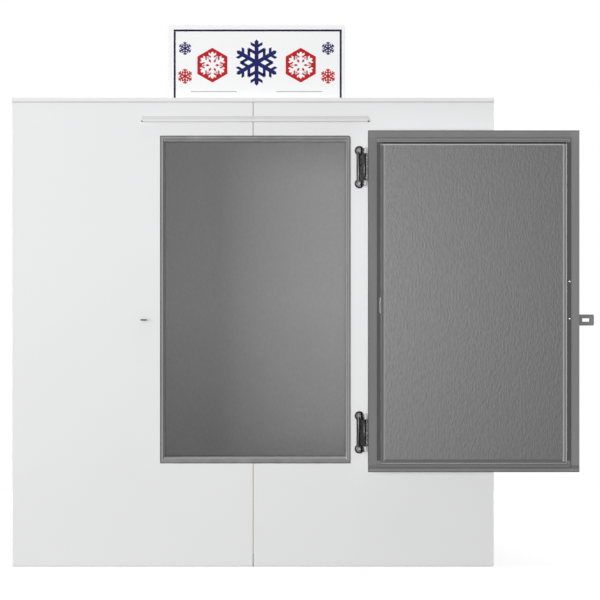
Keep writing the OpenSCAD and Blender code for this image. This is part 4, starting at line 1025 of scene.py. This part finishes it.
def studio_floor():
    bm = bmesh.new()
    bmesh.ops.create_circle(bm, cap_ends=True, segments=96, radius=FLOOR_RADIUS)
    mesh = bpy.data.meshes.new("studio_floor")
    bm.to_mesh(mesh)
    bm.free()
    mesh.materials.append(floor_material())
    floor = bpy.data.objects.new("studio_floor", mesh)
    bpy.context.scene.collection.objects.link(floor)


WORLD_LIGHT = 0.18


def studio_world():
    """Even white surround; it looks pure white where the camera sees it."""
    world = bpy.data.worlds.new("studio_world")
    bpy.context.scene.world = world
    world.use_nodes = True
    tree = world.node_tree
    backdrop = tree.nodes["Background"]
    backdrop.inputs["Color"].default_value = (1.0, 1.0, 1.0, 1.0)
    seen = backdrop_rays(tree)
    tree.links.new(remap(tree, seen, 0.0, 1.0, WORLD_LIGHT, 1.0), backdrop.inputs["Strength"])


def soft_light(name, place, aim, size, power):
    data = bpy.data.lights.new(name, "AREA")
    data.shape = "RECTANGLE"
    data.size, data.size_y = size
    data.energy = power
    lamp = bpy.data.objects.new(name, data)
    bpy.context.scene.collection.objects.link(lamp)
    lamp.location = place
    lamp.rotation_mode = "QUATERNION"
    lamp.rotation_quaternion = (Vector(aim) - Vector(place)).to_track_quat("-Z", "Y")


# Each lamp's place, what it faces, its size in metres and its power in watts.
LAMPS = {
    "key": ((0.06, -11.72, 1.1), (0.06, 0.0, 1.1), (0.14, 0.1), 400.0),
    "front": ((-4.1, -11.0, 1.25), (0.1, 0.0, 1.1), (4.0, 2.6), 490.0),
    "fill_left": ((-6.5, -1.5, 2.6), (0.0, 0.0, 1.0), (3.5, 3.5), 160.0),
    "fill_right": ((6.5, 1.5, 2.6), (0.0, 0.0, 1.0), (3.5, 3.5), 160.0),
    "fill_back": ((-1.5, 7.0, 2.8), (0.0, 0.0, 0.9), (4.0, 4.0), 200.0),
    "top": ((0.0, -0.5, 6.5), (0.0, 0.0, 1.0), (4.0, 4.0), 110.0),
}


def studio_lights():
    """A small key by the camera, a broad lamp at the front left, and weaker fills all round."""
    for name, (place, aim, size, power) in LAMPS.items():
        soft_light(name, place, aim, size, power)


def studio_camera():
    data = bpy.data.cameras.new("camera")
    data.sensor_width = 36.0
    data.lens = CAMERA_LENS
    data.shift_x, data.shift_y = CAMERA_SHIFT
    data.clip_start = 0.1
    data.clip_end = 200.0
    camera = bpy.data.objects.new("camera", data)
    bpy.context.scene.collection.objects.link(camera)
    camera.location = (CAMERA_X, FRONT_Y - CAMERA_DISTANCE, CAMERA_Z)
    camera.rotation_euler = (math.radians(90.0), 0.0, 0.0)
    bpy.context.scene.camera = camera


studio_camera()
studio_floor()
studio_world()
studio_lights()
bpy.context.scene.view_settings.view_transform = "Standard"

finish_cad_nodes()
rounded_cad_edges()
hinge_screws()
door_gasket()
gasket_splice()
door_screws()
sign_print()
gutter_ends()
front_hems()
bolt_caps()
grille_screws()
